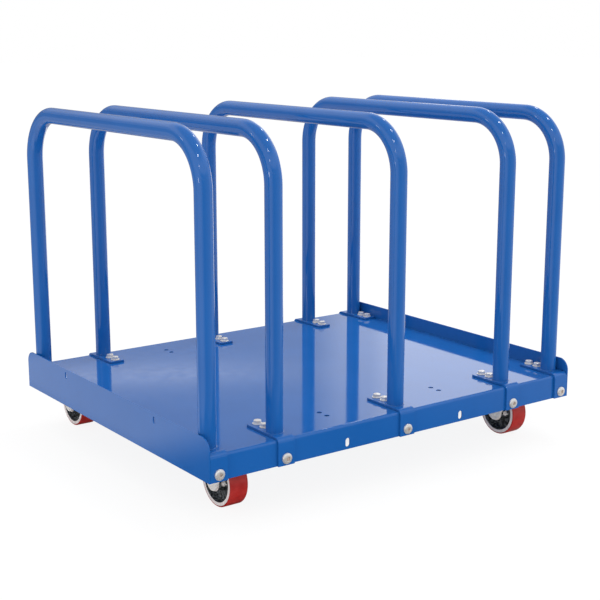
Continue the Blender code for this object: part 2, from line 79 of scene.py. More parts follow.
# Brackets
BRACKET_THICKNESS = 0.00476
BRACKET_CORNER_RADIUS = 0.005
BRACKET_EDGE = 0.0004
BOLT_ROW_INSETS = (0.0127, 0.0381)
SIDE_BOLT_DROP = 0.0379

# Hoops
TUBE_RADIUS = 0.0174
HOOP_BEND_RADIUS = 0.1016
TUBE_STEPS = 56
HOOP_BEND_STEPS = 28
WELD_BEAD_RADIUS = 0.0013
WELD_RIPPLES = 56
WELD_RIPPLE_SHARE = 0.04
STEPS_PER_RIPPLE = 4
WELD_BEAD_SIDES = 10

# Fasteners, 3/8 in
BOLT_RADIUS = 0.00476
THREAD_PITCH = 0.0016
THREAD_DEPTH = 0.0005
HEX_FLATS = 0.0143
HEX_HEAD_HEIGHT = 0.0062
NUT_HEIGHT = 0.0083
JAM_NUT_HEIGHT = 0.0056
WASHER_RADIUS = 0.0103
WASHER_THICKNESS = 0.0018
HEX_CHAMFER_SLOPE = 0.55
HEX_CHAMFER_SHARE = 0.96
BUTTON_RADIUS = 0.011
BUTTON_HEIGHT = 0.0055
BUTTON_RIM = 0.0013
BUTTON_FLAT_RADIUS = 0.0054
SOCKET_FLATS = 0.0078
SOCKET_DEPTH = 0.0038
BUTTON_SHANK = 0.0185
BOLT_TIP = 0.003
BUTTON_ROLL = 37
TURN_SEED = 7

# Caster
PLATE_LENGTH = 0.1143
PLATE_WIDTH = 0.1016
PLATE_THICKNESS = 0.00635
PLATE_CORNER_RADIUS = 0.008
PLATE_EDGE = 0.0009
STUD_PLACES = (0.04605, 0.03335)
RACE_OUTER_RADIUS = 0.034
RACE_WALL = 0.004
RACE_HEIGHT = 0.011
RUNNING_GAP = 0.0006
BALL_RADIUS = 0.0026
BALL_RING_RADIUS = 0.027
BALL_COUNT = 26
BALL_SUBDIVISIONS = 2
LOWER_RACE_RADIUS = 0.024
LOWER_RACE_HEIGHT = 0.008
LOWER_RACE_CHAMFER = 0.0012
KINGPIN_RADIUS = 0.00635
KINGPIN_HEAD_RADIUS = 0.011
KINGPIN_HEAD_HEIGHT = 0.006
FORK_SHEET = 0.005
FORK_HALF_WIDTH = 0.031
FORK_BEND_RADIUS = 0.010
FORK_CROWN_HALF_LENGTH = 0.030
FORK_SHOULDER_DROP = 0.016
FORK_END_RADIUS = 0.0177
FORK_EDGE = 0.0008

# Axle
AXLE_RADIUS = 0.00635
AXLE_HEAD_RADIUS = 0.0085
AXLE_HEAD_HEIGHT = 0.0018
AXLE_NUT_FLATS = 0.019
AXLE_NUT_HEIGHT = 0.009
AXLE_END = 0.002

# Wheel
WHEEL_HALF_WIDTH = 0.0205
TREAD_THICKNESS = 0.0028
TREAD_SHOULDER = 0.0026
RIM_INNER_RADIUS = 0.0422
RIM_DRAFT = 0.002
WEB_HALF = 0.005
WEB_FILLET = 0.003
HUB_RADIUS = 0.0202
HUB_DRAFT = 0.0015
HUB_BORE = 0.0108
HUB_CHAMFER = 0.0008
WHEEL_STEPS = 96
GREASE_BOSS_RADIUS = 0.0062
GREASE_BOSS_REACH = 0.0225
GREASE_TIP_REACH = 0.0295
GREASE_SIDE = 0.0145
GREASE_BOSS_FOOT = 0.01512
GREASE_HEX_FLATS = 0.00682
GREASE_HEX_HEIGHT = 0.0028
GREASE_NECK_RADIUS = 0.001736
# The grease nipple from its tip down, as shares of its neck's radius and of its length
GREASE_NIPPLE = ((0.7, 0.0), (1.0, 0.15), (1.0, 0.3), (0.7, 0.45), (1.1, 0.6), (1.1, 1.0))

# Places read from the frame
DECK_LOW, DECK_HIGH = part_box("deck_platform")
DECK_TOP = DECK_HIGH.z
HALF_DEPTH = DECK_HIGH.y
FLANGE_BOTTOM = DECK_LOW.z
DECK_UNDERSIDE = DECK_TOP - SHEET
BRACKET_LOW, BRACKET_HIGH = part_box("hoop_1_front_bracket")
BRACKET_TOP = BRACKET_HIGH.z
BRACKET_SKIN = BRACKET_TOP - DECK_TOP
BRACKET_REACH = BRACKET_HIGH.y + HALF_DEPTH
BRACKET_HALF_WIDTH = (BRACKET_HIGH.x - BRACKET_LOW.x) / 2
HOOP_LOW, HOOP_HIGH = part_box("hoop_1")
END_LOW, END_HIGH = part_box("right_end_plate")
HOOPS = range(1, 6)
CASTERS = ("front_left", "front_right", "back_left", "back_right")
SIDES = (("front", -1), ("back", 1))
JOINT_AT = {joint["name"]: Vector(joint["pos_m"]) for joint in frame["joints"]}
AXLE = JOINT_AT["front_left_wheel_roll"] - JOINT_AT["front_left_swivel_turn"]
TRAIL = AXLE.y
WHEEL_RADIUS = JOINT_AT["front_left_wheel_roll"].z
CASTER_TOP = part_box("front_left_caster_plate")[1].z
RACE_BOTTOM = CASTER_TOP - PLATE_THICKNESS - RACE_HEIGHT
FORK_TOP = RACE_BOTTOM - RUNNING_GAP
TREAD_INNER_RADIUS = WHEEL_RADIUS - TREAD_THICKNESS
HUB_HALF_LENGTH = FORK_HALF_WIDTH - FORK_SHEET - RUNNING_GAP

# Turns that stand a piece made about Z along another axis
Z_TO_FRONT = Matrix.Rotation(math.radians(90), 4, "X")
Z_TO_LEFT = Matrix.Rotation(math.radians(-90), 4, "Y")
Z_TO_RIGHT = Matrix(((0, 0, 1, 0), (1, 0, 0, 0), (0, 1, 0, 0), (0, 0, 0, 1)))
QUARTER_BACK = Matrix.Rotation(math.radians(-90), 4, "Z")
HALF_TURN = Matrix.Rotation(math.pi, 4, "Z")
IN_PLACE = Matrix.Identity(4)


# Points and outlines


def shift(x=0.0, y=0.0, z=0.0):
    """The matrix that moves a piece to a place."""
    return Matrix.Translation(Vector((x, y, z)))


def arc(centre, radius, start, end, steps):
    """Points along an arc, its start and end angles in degrees."""
    points = []
    for step in range(steps + 1):
        angle = math.radians(start + (end - start) * step / steps)
        points.append((centre[0] + radius * math.cos(angle), centre[1] + radius * math.sin(angle)))
    return points


def slot_outline(size):
    """An upright slot with round ends, its width and height given."""
    radius = size[0] / 2
    rise = size[1] / 2 - radius
    return arc((0, rise), radius, 0, 180, ARC_STEPS) + arc((0, -rise), radius, 180, 360, ARC_STEPS)


def round_rectangle(half_x, half_y, radius):
    """A rectangle with four round corners."""
    outline = []
    for turn, side_x, side_y in ((0, 1, 1), (90, -1, 1), (180, -1, -1), (270, 1, -1)):
        centre = (side_x * (half_x - radius), side_y * (half_y - radius))
        outline += arc(centre, radius, turn, turn + 90, ARC_STEPS // 2)
    return outline


def hexagon(across_flats):
    """The corners of a hexagon."""
    return arc((0, 0), across_flats / math.sqrt(3), 0, 300, 5)


def station_x(station):
    """The place of a hole station along the deck."""
    return (station - (STATION_COUNT - 1) / 2) * HOLE_PITCH


def channel(half, top, radius, low):
    """A path up one side, across the top and down the other side, with two round bends."""
    path = [(-half, low)]
    path += arc((radius - half, top - radius), radius, 180, 90, BEND_STEPS)
    path += arc((half - radius, top - radius), radius, 90, 0, BEND_STEPS)
    return path + [(half, low)]


def plate_outline(half, low, high, corner, steps):
    """An upright plate whose two upper corners are round."""
    outline = arc((half - corner, high - corner), corner, 0, 90, steps)
    outline += arc((corner - half, high - corner), corner, 90, 180, steps)
    return outline + [(-half, low), (half, low)]


# Meshes


def linked(name, data):
    """A new object in the scene."""
    obj = bpy.data.objects.new(name, data)
    bpy.context.scene.collection.objects.link(obj)
    return obj


def scratch(mesh):
    """A working object for a mesh or a curve."""
    return linked("scratch", mesh)


def applied(obj):
    """The object's mesh with its modifiers applied. The object is removed."""
    bpy.context.view_layer.update()
    evaluated = obj.evaluated_get(bpy.context.evaluated_depsgraph_get())
    mesh = bpy.data.meshes.new_from_object(evaluated)
    bpy.data.objects.remove(obj)
    return mesh


def from_work(work, name):
    """A mesh from a bmesh that is then freed."""
    mesh = bpy.data.meshes.new(name)
    work.to_mesh(mesh)
    work.free()
    return mesh


def turned(profile, steps=HOLE_STEPS, closed=False):
    """A profile of radius and height turned about Z. Each point keeps its radius for the turning marks."""
    work = bmesh.new()
    mark = work.verts.layers.float.new("turning_radius")
    points = [work.verts.new((radius, 0, height)) for radius, height in profile]
    edges = [work.edges.new(pair) for pair in zip(points, points[1:])]
    if closed:
        edges.append(work.edges.new((points[-1], points[0])))
    bmesh.ops.spin(work, geom=points + edges, axis=(0, 0, 1), cent=(0, 0, 0), angle=math.tau, steps=steps,
                   use_merge=True)
    bmesh.ops.remove_doubles(work, verts=work.verts, dist=WELD)
    bmesh.ops.recalc_face_normals(work, faces=work.faces)
    for vert in work.verts:
        vert[mark] = math.hypot(vert.co.x, vert.co.y)
    return from_work(work, "turned")


def rod(radius, low, high, steps=HOLE_STEPS):
    """A plain round rod about Z."""
    return turned([(0, high), (radius, high), (radius, low), (0, low)], steps)


def ring(inner, outer, low, high, edge=0.0, steps=HOLE_STEPS):
    """A ring about Z, its outer edges chamfered."""
    return turned([(inner, high), (outer - edge, high), (outer, high - edge), (outer, low + edge),
                   (outer - edge, low), (inner, low)], steps, closed=True)


def prism(outlines, thickness):
    """Closed flat outlines in XY, the inner ones as holes, as thick as given about Z."""
    curve = bpy.data.curves.new("prism", "CURVE")
    curve.dimensions = "2D"
    curve.fill_mode = "BOTH"
    curve.extrude = thickness / 2
    for outline in outlines:
        spline = curve.splines.new("POLY")
        spline.points.add(len(outline) - 1)
        for point, place in zip(spline.points, outline):
            point.co = (place[0], place[1], 0, 1)
        spline.use_cyclic_u = True
    return welded(applied(scratch(curve)))


def welded(mesh):
    """The mesh with its doubled points merged and its faces turned outwards."""
    work = bmesh.new()
    work.from_mesh(mesh)
    bmesh.ops.remove_doubles(work, verts=work.verts, dist=WELD)
    bmesh.ops.recalc_face_normals(work, faces=work.faces)
    work.to_mesh(mesh)
    work.free()
    return mesh


def bent_sheet(path, width, thickness):
    """A sheet bent along a path in YZ and as wide as given in X, its wall on the path's inner side."""
    work = bmesh.new()
    left = [work.verts.new((-width / 2, y, z)) for y, z in path]
    right = [work.verts.new((width / 2, y, z)) for y, z in path]
    for index in range(len(path) - 1):
        work.faces.new((left[index], right[index], right[index + 1], left[index + 1]))
    obj = scratch(from_work(work, "sheet"))
    wall = obj.modifiers.new("wall", "SOLIDIFY")
    wall.thickness = thickness
    wall.offset = -1
    wall.use_even_offset = True
    return applied(obj)


def gathered(mesh, places):
    """One mesh that holds a copy at every place."""
    work = bmesh.new()
    for place in places:
        first = len(work.verts)
        work.from_mesh(mesh)
        work.verts.ensure_lookup_table()
        bmesh.ops.transform(work, matrix=place, verts=work.verts[first:])
    return from_work(work, mesh.name)


def joined(*meshes):
    """One mesh that holds all the meshes given."""
    work = bmesh.new()
    for mesh in meshes:
        work.from_mesh(mesh)
    return from_work(work, meshes[0].name)


def placed(mesh, place):
    """A copy of the mesh moved to a place."""
    copy = mesh.copy()
    copy.transform(place)
    return copy


def shaped(mesh, other, operation="DIFFERENCE"):
    """The mesh cut with another, joined to it, or what the two share."""
    obj = scratch(mesh)
    helper = scratch(other)
    modifier = obj.modifiers.new("shape", "BOOLEAN")
    modifier.operation = operation
    modifier.object = helper
    result = applied(obj)
    bpy.data.objects.remove(helper)
    return result


def softened(mesh, width, segments=2):
    """The mesh with its sharp edges rounded, and its flat faces kept flat in the light."""
    mesh.shade_smooth()
    obj = scratch(mesh)
    bevel = obj.modifiers.new("edges", "BEVEL")
    bevel.width = width
    bevel.segments = segments
    bevel.limit_method = "ANGLE"
    bevel.angle_limit = math.radians(SHARP_ANGLE)
    flat = obj.modifiers.new("flat faces", "WEIGHTED_NORMAL")
    flat.weight = 100
    flat.keep_sharp = True
    return applied(obj)


def smooth(mesh, angle=SHARP_ANGLE):
    """The mesh shaded smooth, apart from its sharp edges."""
    mesh.shade_smooth()
    mesh.set_sharp_from_angle(angle=math.radians(angle))
    return mesh


# Node trees


def add(tree, kind, values=(), **settings):
    """A node with its settings and the values of some of its inputs."""
    node = tree.nodes.new(kind)
    for key, value in settings.items():
        setattr(node, key, value)
    for key, value in dict(values).items():
        node.inputs[key].default_value = value
    return node


def wire(tree, *steps):
    """Link nodes. A step is a node, its output, the next node and its input."""
    for source, output, target, entry in steps:
        tree.links.new(source.outputs[output], target.inputs[entry])


def put(tree, entry, value):
    """Give an input a number, or link it to the socket given."""
    if isinstance(value, (int, float)):
        entry.default_value = value
    else:
        tree.links.new(value, entry)


def feed(tree, node, values):
    """Give inputs of a node their numbers or sockets."""
    for key, value in values.items():
        put(tree, node.inputs[key], value)


def geometry_tree(name, inputs):
    """A geometry tree with named inputs, its first node and the node that takes what the tree makes.

    Each tree ends alike: the instances are made real and get the material of the last input.
    """
    tree = bpy.data.node_groups.new(name, "GeometryNodeTree")
    tree.interface.new_socket("Geometry", in_out="INPUT", socket_type="NodeSocketGeometry")
    for label, kind in (*inputs, ("Material", "Material")):
        tree.interface.new_socket(label, in_out="INPUT", socket_type=f"NodeSocket{kind}")
    tree.interface.new_socket("Geometry", in_out="OUTPUT", socket_type="NodeSocketGeometry")
    start = add(tree, "NodeGroupInput")
    real = add(tree, "GeometryNodeRealizeInstances")
    finish = add(tree, "GeometryNodeSetMaterial")
    end = add(tree, "NodeGroupOutput")
    wire(tree,
         (real, "Geometry", finish, "Geometry"),
         (start, "Material", finish, "Material"),
         (finish, "Geometry", end, "Geometry"))
    return tree, start, real


def grown(mesh, tree, finish, values):
    """The mesh that a geometry tree grows from another, in a finish and with its other inputs set by name."""
    obj = scratch(mesh)
    modifier = obj.modifiers.new(tree.name, "NODES")
    modifier.node_group = tree
    values = {**values, "Material": FINISHES[finish][0]}
    for item in tree.interface.items_tree:
        if item.in_out == "INPUT" and item.name in values:
            modifier[item.identifier] = values[item.name]
    return applied(obj)


def bent_tube_tree():
    """A round bar along a line whose corners are bent to one radius."""
    tree, start, last = geometry_tree("bent_tube", [
        ("Bend radius", "Float"), ("Bend steps", "Int"), ("Tube radius", "Float"), ("Sides", "Int")])
    line = add(tree, "GeometryNodeMeshToCurve")
    bend = add(tree, "GeometryNodeFilletCurve", mode="POLY", values={"Limit Radius": True})
    circle = add(tree, "GeometryNodeCurvePrimitiveCircle")
    sweep = add(tree, "GeometryNodeCurveToMesh", values={"Fill Caps": True})
    wire(tree,
         (start, "Geometry", line, "Mesh"),
         (line, "Curve", bend, "Curve"),
         (start, "Bend radius", bend, "Radius"),
         (start, "Bend steps", bend, "Count"),
         (start, "Sides", circle, "Resolution"),
         (start, "Tube radius", circle, "Radius"),
         (bend, "Curve", sweep, "Curve"),
         (circle, "Curve", sweep, "Profile Curve"),
         (sweep, "Mesh", last, "Geometry"))
    return tree


def copies_tree():
    """A copy of one fastener at every point, each turned about its own axis by chance."""
    tree, start, last = geometry_tree("copies_at_points", [("Fastener", "Object"), ("Turn", "Vector")])
    info = add(tree, "GeometryNodeObjectInfo")
    chance = add(tree, "FunctionNodeRandomValue", data_type="FLOAT",
                 values={"Max": math.tau, "Seed": TURN_SEED})
    spin = add(tree, "ShaderNodeCombineXYZ")
    place = add(tree, "GeometryNodeInstanceOnPoints")
    turn = add(tree, "GeometryNodeRotateInstances", values={"Local Space": True})
    wire(tree,
         (start, "Fastener", info, "Object"),
         (start, "Geometry", place, "Points"),
         (info, "Geometry", place, "Instance"),
         (start, "Turn", place, "Rotation"),
         (place, "Instances", turn, "Instances"),
         (chance, "Value", spin, "Z"),
         (spin, "Vector", turn, "Rotation"),
         (turn, "Instances", last, "Geometry"))
    return tree


def weld_bead_tree():
    """A rippled bead in a ring round every point."""
    tree, start, last = geometry_tree("weld_beads", [
        ("Ring radius", "Float"), ("Bead radius", "Float"), ("Ripples", "Int"), ("Ripple share", "Float")])
    steps = add(tree, "ShaderNodeMath", operation="MULTIPLY", values={1: STEPS_PER_RIPPLE})
    circle = add(tree, "GeometryNodeCurvePrimitiveCircle")
    index = add(tree, "GeometryNodeInputIndex")
    angle = add(tree, "ShaderNodeMath", operation="MULTIPLY", values={1: math.tau / STEPS_PER_RIPPLE})
    wave = add(tree, "ShaderNodeMath", operation="SINE")
    swell = add(tree, "ShaderNodeMath", operation="MULTIPLY_ADD", values={2: 1})
    radius = add(tree, "GeometryNodeSetCurveRadius")
    section = add(tree, "GeometryNodeCurvePrimitiveCircle", values={"Resolution": WELD_BEAD_SIDES})
    sweep = add(tree, "GeometryNodeCurveToMesh")
    place = add(tree, "GeometryNodeInstanceOnPoints")
    wire(tree,
         (start, "Ripples", steps, 0),
         (steps, 0, circle, "Resolution"),
         (start, "Ring radius", circle, "Radius"),
         (index, "Index", angle, 0),
         (angle, 0, wave, 0),
         (wave, 0, swell, 0),
         (start, "Ripple share", swell, 1),
         (circle, "Curve", radius, "Curve"),
         (swell, 0, radius, "Radius"),
         (start, "Bead radius", section, "Radius"),
         (radius, "Curve", sweep, "Curve"),
         (section, "Curve", sweep, "Profile Curve"),
         (start, "Geometry", place, "Points"),
         (sweep, "Mesh", place, "Instance"),
         (place, "Instances", last, "Geometry"))
    return tree


def ball_ring_tree():
    """Balls spaced evenly round a ring at every point."""
    tree, start, last = geometry_tree("ball_ring", [
        ("Ring radius", "Float"), ("Ball radius", "Float"), ("Balls", "Int")])
    circle = add(tree, "GeometryNodeCurvePrimitiveCircle")
    spots = add(tree, "GeometryNodeCurveToPoints", mode="EVALUATED")
    ball = add(tree, "GeometryNodeMeshIcoSphere", values={"Subdivisions": BALL_SUBDIVISIONS})
    row = add(tree, "GeometryNodeInstanceOnPoints")
    place = add(tree, "GeometryNodeInstanceOnPoints")
    wire(tree,
         (start, "Balls", circle, "Resolution"),
         (start, "Ring radius", circle, "Radius"),
         (circle, "Curve", spots, "Curve"),
         (start, "Ball radius", ball, "Radius"),
         (spots, "Points", row, "Points"),
         (ball, "Mesh", row, "Instance"),
         (start, "Geometry", place, "Points"),
         (row, "Instances", place, "Instance"),
         (place, "Instances", last, "Geometry"))
    return tree


def points_mesh(places):
    """A mesh of loose points."""
    mesh = bpy.data.meshes.new("points")
    mesh.from_pydata(places, [], [])
    return mesh


# Shader groups


def shader_group(name, inputs, output):
    """An empty shader group with its named inputs and one output."""
    group = bpy.data.node_groups.new(name, "ShaderNodeTree")
    group.interface.new_socket("Vector", in_out="INPUT", socket_type="NodeSocketVector")
    for label in inputs:
        group.interface.new_socket(label, in_out="INPUT", socket_type="NodeSocketFloat")
    kind = "NodeSocketVector" if output == "Normal" else "NodeSocketFloat"
    group.interface.new_socket(output, in_out="OUTPUT", socket_type=kind)
    return group, group.nodes.new("NodeGroupInput"), group.nodes.new("NodeGroupOutput")


def skin_group():
    """The fine uneven skin of a coating or a casting, as a normal."""
    group, start, end = shader_group("uneven_skin", ("Scale", "Detail", "Height"), "Normal")
    noise = add(group, "ShaderNodeTexNoise")
    bump = add(group, "ShaderNodeBump", values={"Strength": 1.0})
    wire(group,
         (start, "Vector", noise, "Vector"),
         (start, "Scale", noise, "Scale"),
         (start, "Detail", noise, "Detail"),
         (noise, "Fac", bump, "Height"),
         (start, "Height", bump, "Distance"),
         (bump, "Normal", end, "Normal"))
    return group


def patches_group():
    """Soft patches of tone over a surface, from 0 to 1."""
    group, start, end = shader_group("tone_patches", ("Scale", "Low", "High"), "Patch")
    noise = add(group, "ShaderNodeTexNoise", values={"Detail": 3.0, "Roughness": 0.55})
    span = add(group, "ShaderNodeMapRange", interpolation_type="SMOOTHSTEP")
    wire(group,
         (start, "Vector", noise, "Vector"),
         (start, "Scale", noise, "Scale"),
         (noise, "Fac", span, "Value"),
         (start, "Low", span, "From Min"),
         (start, "High", span, "From Max"),
         (span, "Result", end, "Patch"))
    return group


def place_group(tree, group, where, values):
    """What a shader group gives in a material, from coordinates and values in the order of its inputs."""
    node = add(tree, "ShaderNodeGroup", node_tree=group)
    for entry, value in zip(node.inputs, (where, *values)):
        put(tree, entry, value)
    return node.outputs[0]


def tone_mix(tree, factor, first, second):
    """A colour between two, by a factor that changes over the surface."""
    mix = add(tree, "ShaderNodeMix", data_type="RGBA", values={"A": (*first, 1), "B": (*second, 1)})
    tree.links.new(factor, mix.inputs["Factor"])
    return mix.outputs["Result"]


def level(tree, factor, low, high):
    """A number between two, by a factor that changes over the surface."""
    span = add(tree, "ShaderNodeMapRange", values={"To Min": low, "To Max": high})
    tree.links.new(factor, span.inputs["Value"])
    return span.outputs["Result"]


def new_finish(name, **values):
    """A Principled material, its tree, its shader and its object coordinates."""
    material = bpy.data.materials.new(name)
    material.use_nodes = True
    tree = material.node_tree
    shader = tree.nodes["Principled BSDF"]
    for key, value in values.items():
        shader.inputs[key.replace("_", " ")].default_value = value
    return material, tree, shader, add(tree, "ShaderNodeTexCoord").outputs["Object"]


def patchy(name, tone, colours, roughness, skin, shine=None, **values):
    """A material whose colour and roughness change in soft patches, with a fine skin over it.

    Tone and shine give the scale of their patches and the two ends of their noise, skin its scale, detail and
    height. The roughness follows the patches of shine, or else those of tone.
    """
    material, tree, shader, where = new_finish(name, **values)
    patch = place_group(tree, PATCHES, where, tone)
    gloss = place_group(tree, PATCHES, where, shine) if shine else patch
    feed(tree, shader, {
        "Base Color": tone_mix(tree, patch, *colours),
        "Roughness": level(tree, gloss, *roughness),
        "Normal": place_group(tree, SKIN, where, skin)})
    return material


def zinc_plate(name, metallic, *colours):
    """Bright zinc plate, slightly cloudy."""
    return patchy(name, (160.0, 0.3, 0.7), colours, (0.32, 0.44), (1400.0, 3.0, 0.000012), Metallic=metallic)


def turned_face():
    """Iron turned bright, with the rings that the tool leaves."""
    material, tree, shader, where = new_finish("turned_iron_face", Metallic=0.05)
    radius = add(tree, "ShaderNodeAttribute", attribute_name="turning_radius")
    turns = add(tree, "ShaderNodeMath", operation="MULTIPLY", values={1: math.tau / TURNING_PITCH})
    ridge = add(tree, "ShaderNodeMath", operation="SINE")
    bump = add(tree, "ShaderNodeBump", values={"Strength": 1.0, "Distance": TURNING_DEPTH})
    wire(tree,
         (radius, "Fac", turns, 0),
         (turns, 0, ridge, 0),
         (ridge, 0, bump, "Height"),
         (bump, "Normal", shader, "Normal"))
    tone = place_group(tree, PATCHES, where, (120.0, 0.3, 0.7))
    feed(tree, shader, {
        "Base Color": tone_mix(tree, tone, FACE_WARM, FACE_COOL),
        "Roughness": level(tree, tone, 0.38, 0.5)})
    return material


# Colours, linear
BLUE_DEEP = (0.0093, 0.106, 0.382)
BLUE_LIGHT = (0.0112, 0.113, 0.401)
ZINC_WARM = (0.86, 0.81, 0.76)
ZINC_COOL = (0.82, 0.83, 0.85)
# Zinc plate painted lighter, for the forks, axles and grease fittings that sit in shade beneath the deck
ZINC_PAINTED_LIGHT_WARM = (0.95, 0.90, 0.85)
ZINC_PAINTED_LIGHT_COOL = (0.92, 0.90, 0.88)
# Shade painted inside the hex sockets: a darker, browner zinc
SOCKET_SHADE_WARM = (0.72, 0.62, 0.56)
SOCKET_SHADE_COOL = (0.60, 0.54, 0.50)
IRON_DARK = (0.018, 0.020, 0.022)
IRON_LIGHT = (0.20, 0.21, 0.22)
FACE_WARM = (0.92, 0.82, 0.79)
FACE_COOL = (0.86, 0.80, 0.79)
RED_DEEP = (0.41, 0.012, 0.010)
RED_LIGHT = (0.50, 0.018, 0.014)
STEEL_DARK = (0.62, 0.62, 0.64)
STEEL_LIGHT = (0.80, 0.80, 0.82)

# Rings on the turned faces
TURNING_PITCH = 0.0009
TURNING_DEPTH = 0.00002

SKIN = skin_group()
PATCHES = patches_group()

# Glossy powder coat with a fine orange peel
POWDER_COAT = patchy(
    "blue_powder_coat", (9.0, 0.3, 0.7), (BLUE_DEEP, BLUE_LIGHT), (0.05, 0.08), (330.0, 2.0, 0.0000025),
    shine=(40.0, 0.3, 0.7), Metallic=0.0, IOR=1.55)
# Mottled and grainy castings
CAST_IRON = patchy(
    "dark_cast_iron", (190.0, 0.4, 0.62), (IRON_DARK, IRON_LIGHT), (0.32, 0.6), (420.0, 6.0, 0.0007),
    shine=(320.0, 0.35, 0.65), Metallic=0.3)
# Moulded smooth
POLYURETHANE = patchy(
    "red_polyurethane", (60.0, 0.3, 0.7), (RED_DEEP, RED_LIGHT), (0.28, 0.4), (260.0, 2.0, 0.00004),
    Metallic=0.0, IOR=1.5)
# Hardened and ground, for balls and sleeves
GROUND_STEEL = patchy(
    "ground_steel", (220.0, 0.3, 0.7), (STEEL_DARK, STEEL_LIGHT), (0.16, 0.28), (2400.0, 2.0, 0.000006),
    Metallic=1.0)

# Each finish with the name of its slot
FINISHES = {
    "blue": (POWDER_COAT, "blue_powder_coat"),
    "zinc": (zinc_plate("zinc_plated_steel", 0.6, ZINC_WARM, ZINC_COOL), "zinc_plated_steel"),
    # A copy of the zinc plate painted lighter and less metallic, to make up for the shade beneath the deck
    "fork zinc": (zinc_plate("zinc_plate_with_painted_light", 0.15, ZINC_PAINTED_LIGHT_WARM, ZINC_PAINTED_LIGHT_COOL), "zinc_plated_steel"),
    "zinc with painted socket shade": (zinc_plate("zinc_plate_with_painted_socket_shade", 0.3, SOCKET_SHADE_WARM, SOCKET_SHADE_COOL), "zinc_plated_steel"),
    "iron": (CAST_IRON, "dark_cast_iron"),
    "face": (turned_face(), "dark_cast_iron"),
    "red": (POLYURETHANE, "red_polyurethane"),
    "steel": (GROUND_STEEL, "bearing_steel"),
}
BENT_TUBE = bent_tube_tree()
COPIES = copies_tree()
WELD_BEADS = weld_bead_tree()
BALL_RING = ball_ring_tree()


def fit(name, mesh, finish, body, *nodes):
    """A finished piece on its body, which may stand for some of the frame's nodes."""
    material, slot = FINISHES[finish]
    piece = linked(name, mesh)
    if not mesh.materials:
        mesh.materials.append(material)
    mesh.materials[0] = material
    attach(piece, body)
    if nodes:
        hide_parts(*nodes)
    return piece


def keep_node(name, finish):
    """A node whose shape is right keeps it and gets a better finish."""
    for holder in frame["nodes"][name].material_slots:
        holder.material = FINISHES[finish][0]


# Deck and end plates


def bolt_rows():
    """How far each row of bolt holes lies in from the deck's edge."""
    return [BRACKET_REACH - inset for inset in BOLT_ROW_INSETS]


def make_deck():
    """The deck sheet with its flanges, bolt holes and slots."""
    path = channel(HALF_DEPTH, DECK_TOP, DECK_BEND_RADIUS, FLANGE_BOTTOM)
    sheet = bent_sheet(path, DECK_HIGH.x - DECK_LOW.x, SHEET)
    depth = SHEET / 2 + CUT_OVERRUN
    holes = []
    slots = []
    for station in range(STATION_COUNT):
        for _, side in SIDES:
            for row in bolt_rows():
                holes.append(shift(station_x(station), side * (HALF_DEPTH - row), DECK_TOP - SHEET / 2))
            middle = side * (HALF_DEPTH - SHEET / 2)
            slots.append(shift(station_x(station), middle, DECK_TOP - SIDE_BOLT_DROP) @ Z_TO_FRONT)
    sheet = shaped(sheet, gathered(rod(HOLE_RADIUS, -depth, depth), holes))
    sheet = shaped(sheet, gathered(prism([slot_outline(FLANGE_SLOT)], 2 * depth), slots))
    fit("deck_sheet", softened(sheet, SHEET_EDGE), "blue", "frame", "deck_platform")


def make_end_plates():
    """The plates that close the deck's ends, each with two slots."""
    outlines = [plate_outline(END_HIGH.y, END_LOW.z, END_HIGH.z, END_CORNER_RADIUS, ARC_STEPS)]
    for side in (-1, 1):
        outlines.append([(y + side * END_SLOT_SPREAD / 2, z + DECK_TOP + END_SLOT_RISE)
                         for y, z in slot_outline(END_SLOT)])
    plate = softened(prism(outlines, SHEET), SHEET_EDGE)
    for name, side in (("left", -1), ("right", 1)):
        place = shift(x=side * (END_LOW.x + SHEET / 2)) @ Z_TO_RIGHT
        fit(f"{name}_end_sheet", placed(plate, place), "blue", "frame", f"{name}_end_plate")


# Brackets, hoops and their welds


def bracket():
    """A bracket at the deck's front edge, with its zero on the deck's top and the flange's face."""
    radius = DECK_BEND_RADIUS + BRACKET_SKIN
    path = [(-BRACKET_SKIN, FLANGE_BOTTOM - DECK_TOP)]
    path += arc((DECK_BEND_RADIUS, -DECK_BEND_RADIUS), radius, 180, 90, BEND_STEPS)
    path.append((BRACKET_REACH + CUT_OVERRUN, BRACKET_SKIN))
    bar = bent_sheet(path, 2 * (BRACKET_HALF_WIDTH + CUT_OVERRUN), BRACKET_THICKNESS)
    outline = plate_outline(BRACKET_HALF_WIDTH, -BRACKET_SKIN - CUT_OVERRUN, BRACKET_REACH,
                            BRACKET_CORNER_RADIUS, ARC_STEPS // 2)
    bar = shaped(bar, prism([outline], 2 * DECK_TOP), "INTERSECT")
    depth = BRACKET_THICKNESS / 2 + CUT_OVERRUN
    middle = BRACKET_SKIN - BRACKET_THICKNESS / 2
    places = [shift(y=row, z=middle) for row in bolt_rows()]
    places.append(shift(y=-middle, z=-SIDE_BOLT_DROP) @ Z_TO_FRONT)
    bar = shaped(bar, gathered(rod(HOLE_RADIUS, -depth, depth), places))
    return softened(bar, BRACKET_EDGE)


def hoop(x):
    """A hoop of bent tube, its feet on the brackets."""
    span = HOOP_HIGH.y - TUBE_RADIUS
    top = HOOP_HIGH.z - TUBE_RADIUS
    corners = [(x, -span, HOOP_LOW.z), (x, -span, top), (x, span, top), (x, span, HOOP_LOW.z)]
    line = bpy.data.meshes.new("hoop")
    line.from_pydata(corners, [(0, 1), (1, 2), (2, 3)], [])
    return smooth(grown(line, BENT_TUBE, "blue", {
        "Bend radius": HOOP_BEND_RADIUS, "Bend steps": HOOP_BEND_STEPS, "Tube radius": TUBE_RADIUS,
        "Sides": TUBE_STEPS}))


def hoop_x(number):
    """The place of a hoop along the deck."""
    low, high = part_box(f"hoop_{number}")
    return (low.x + high.x) / 2


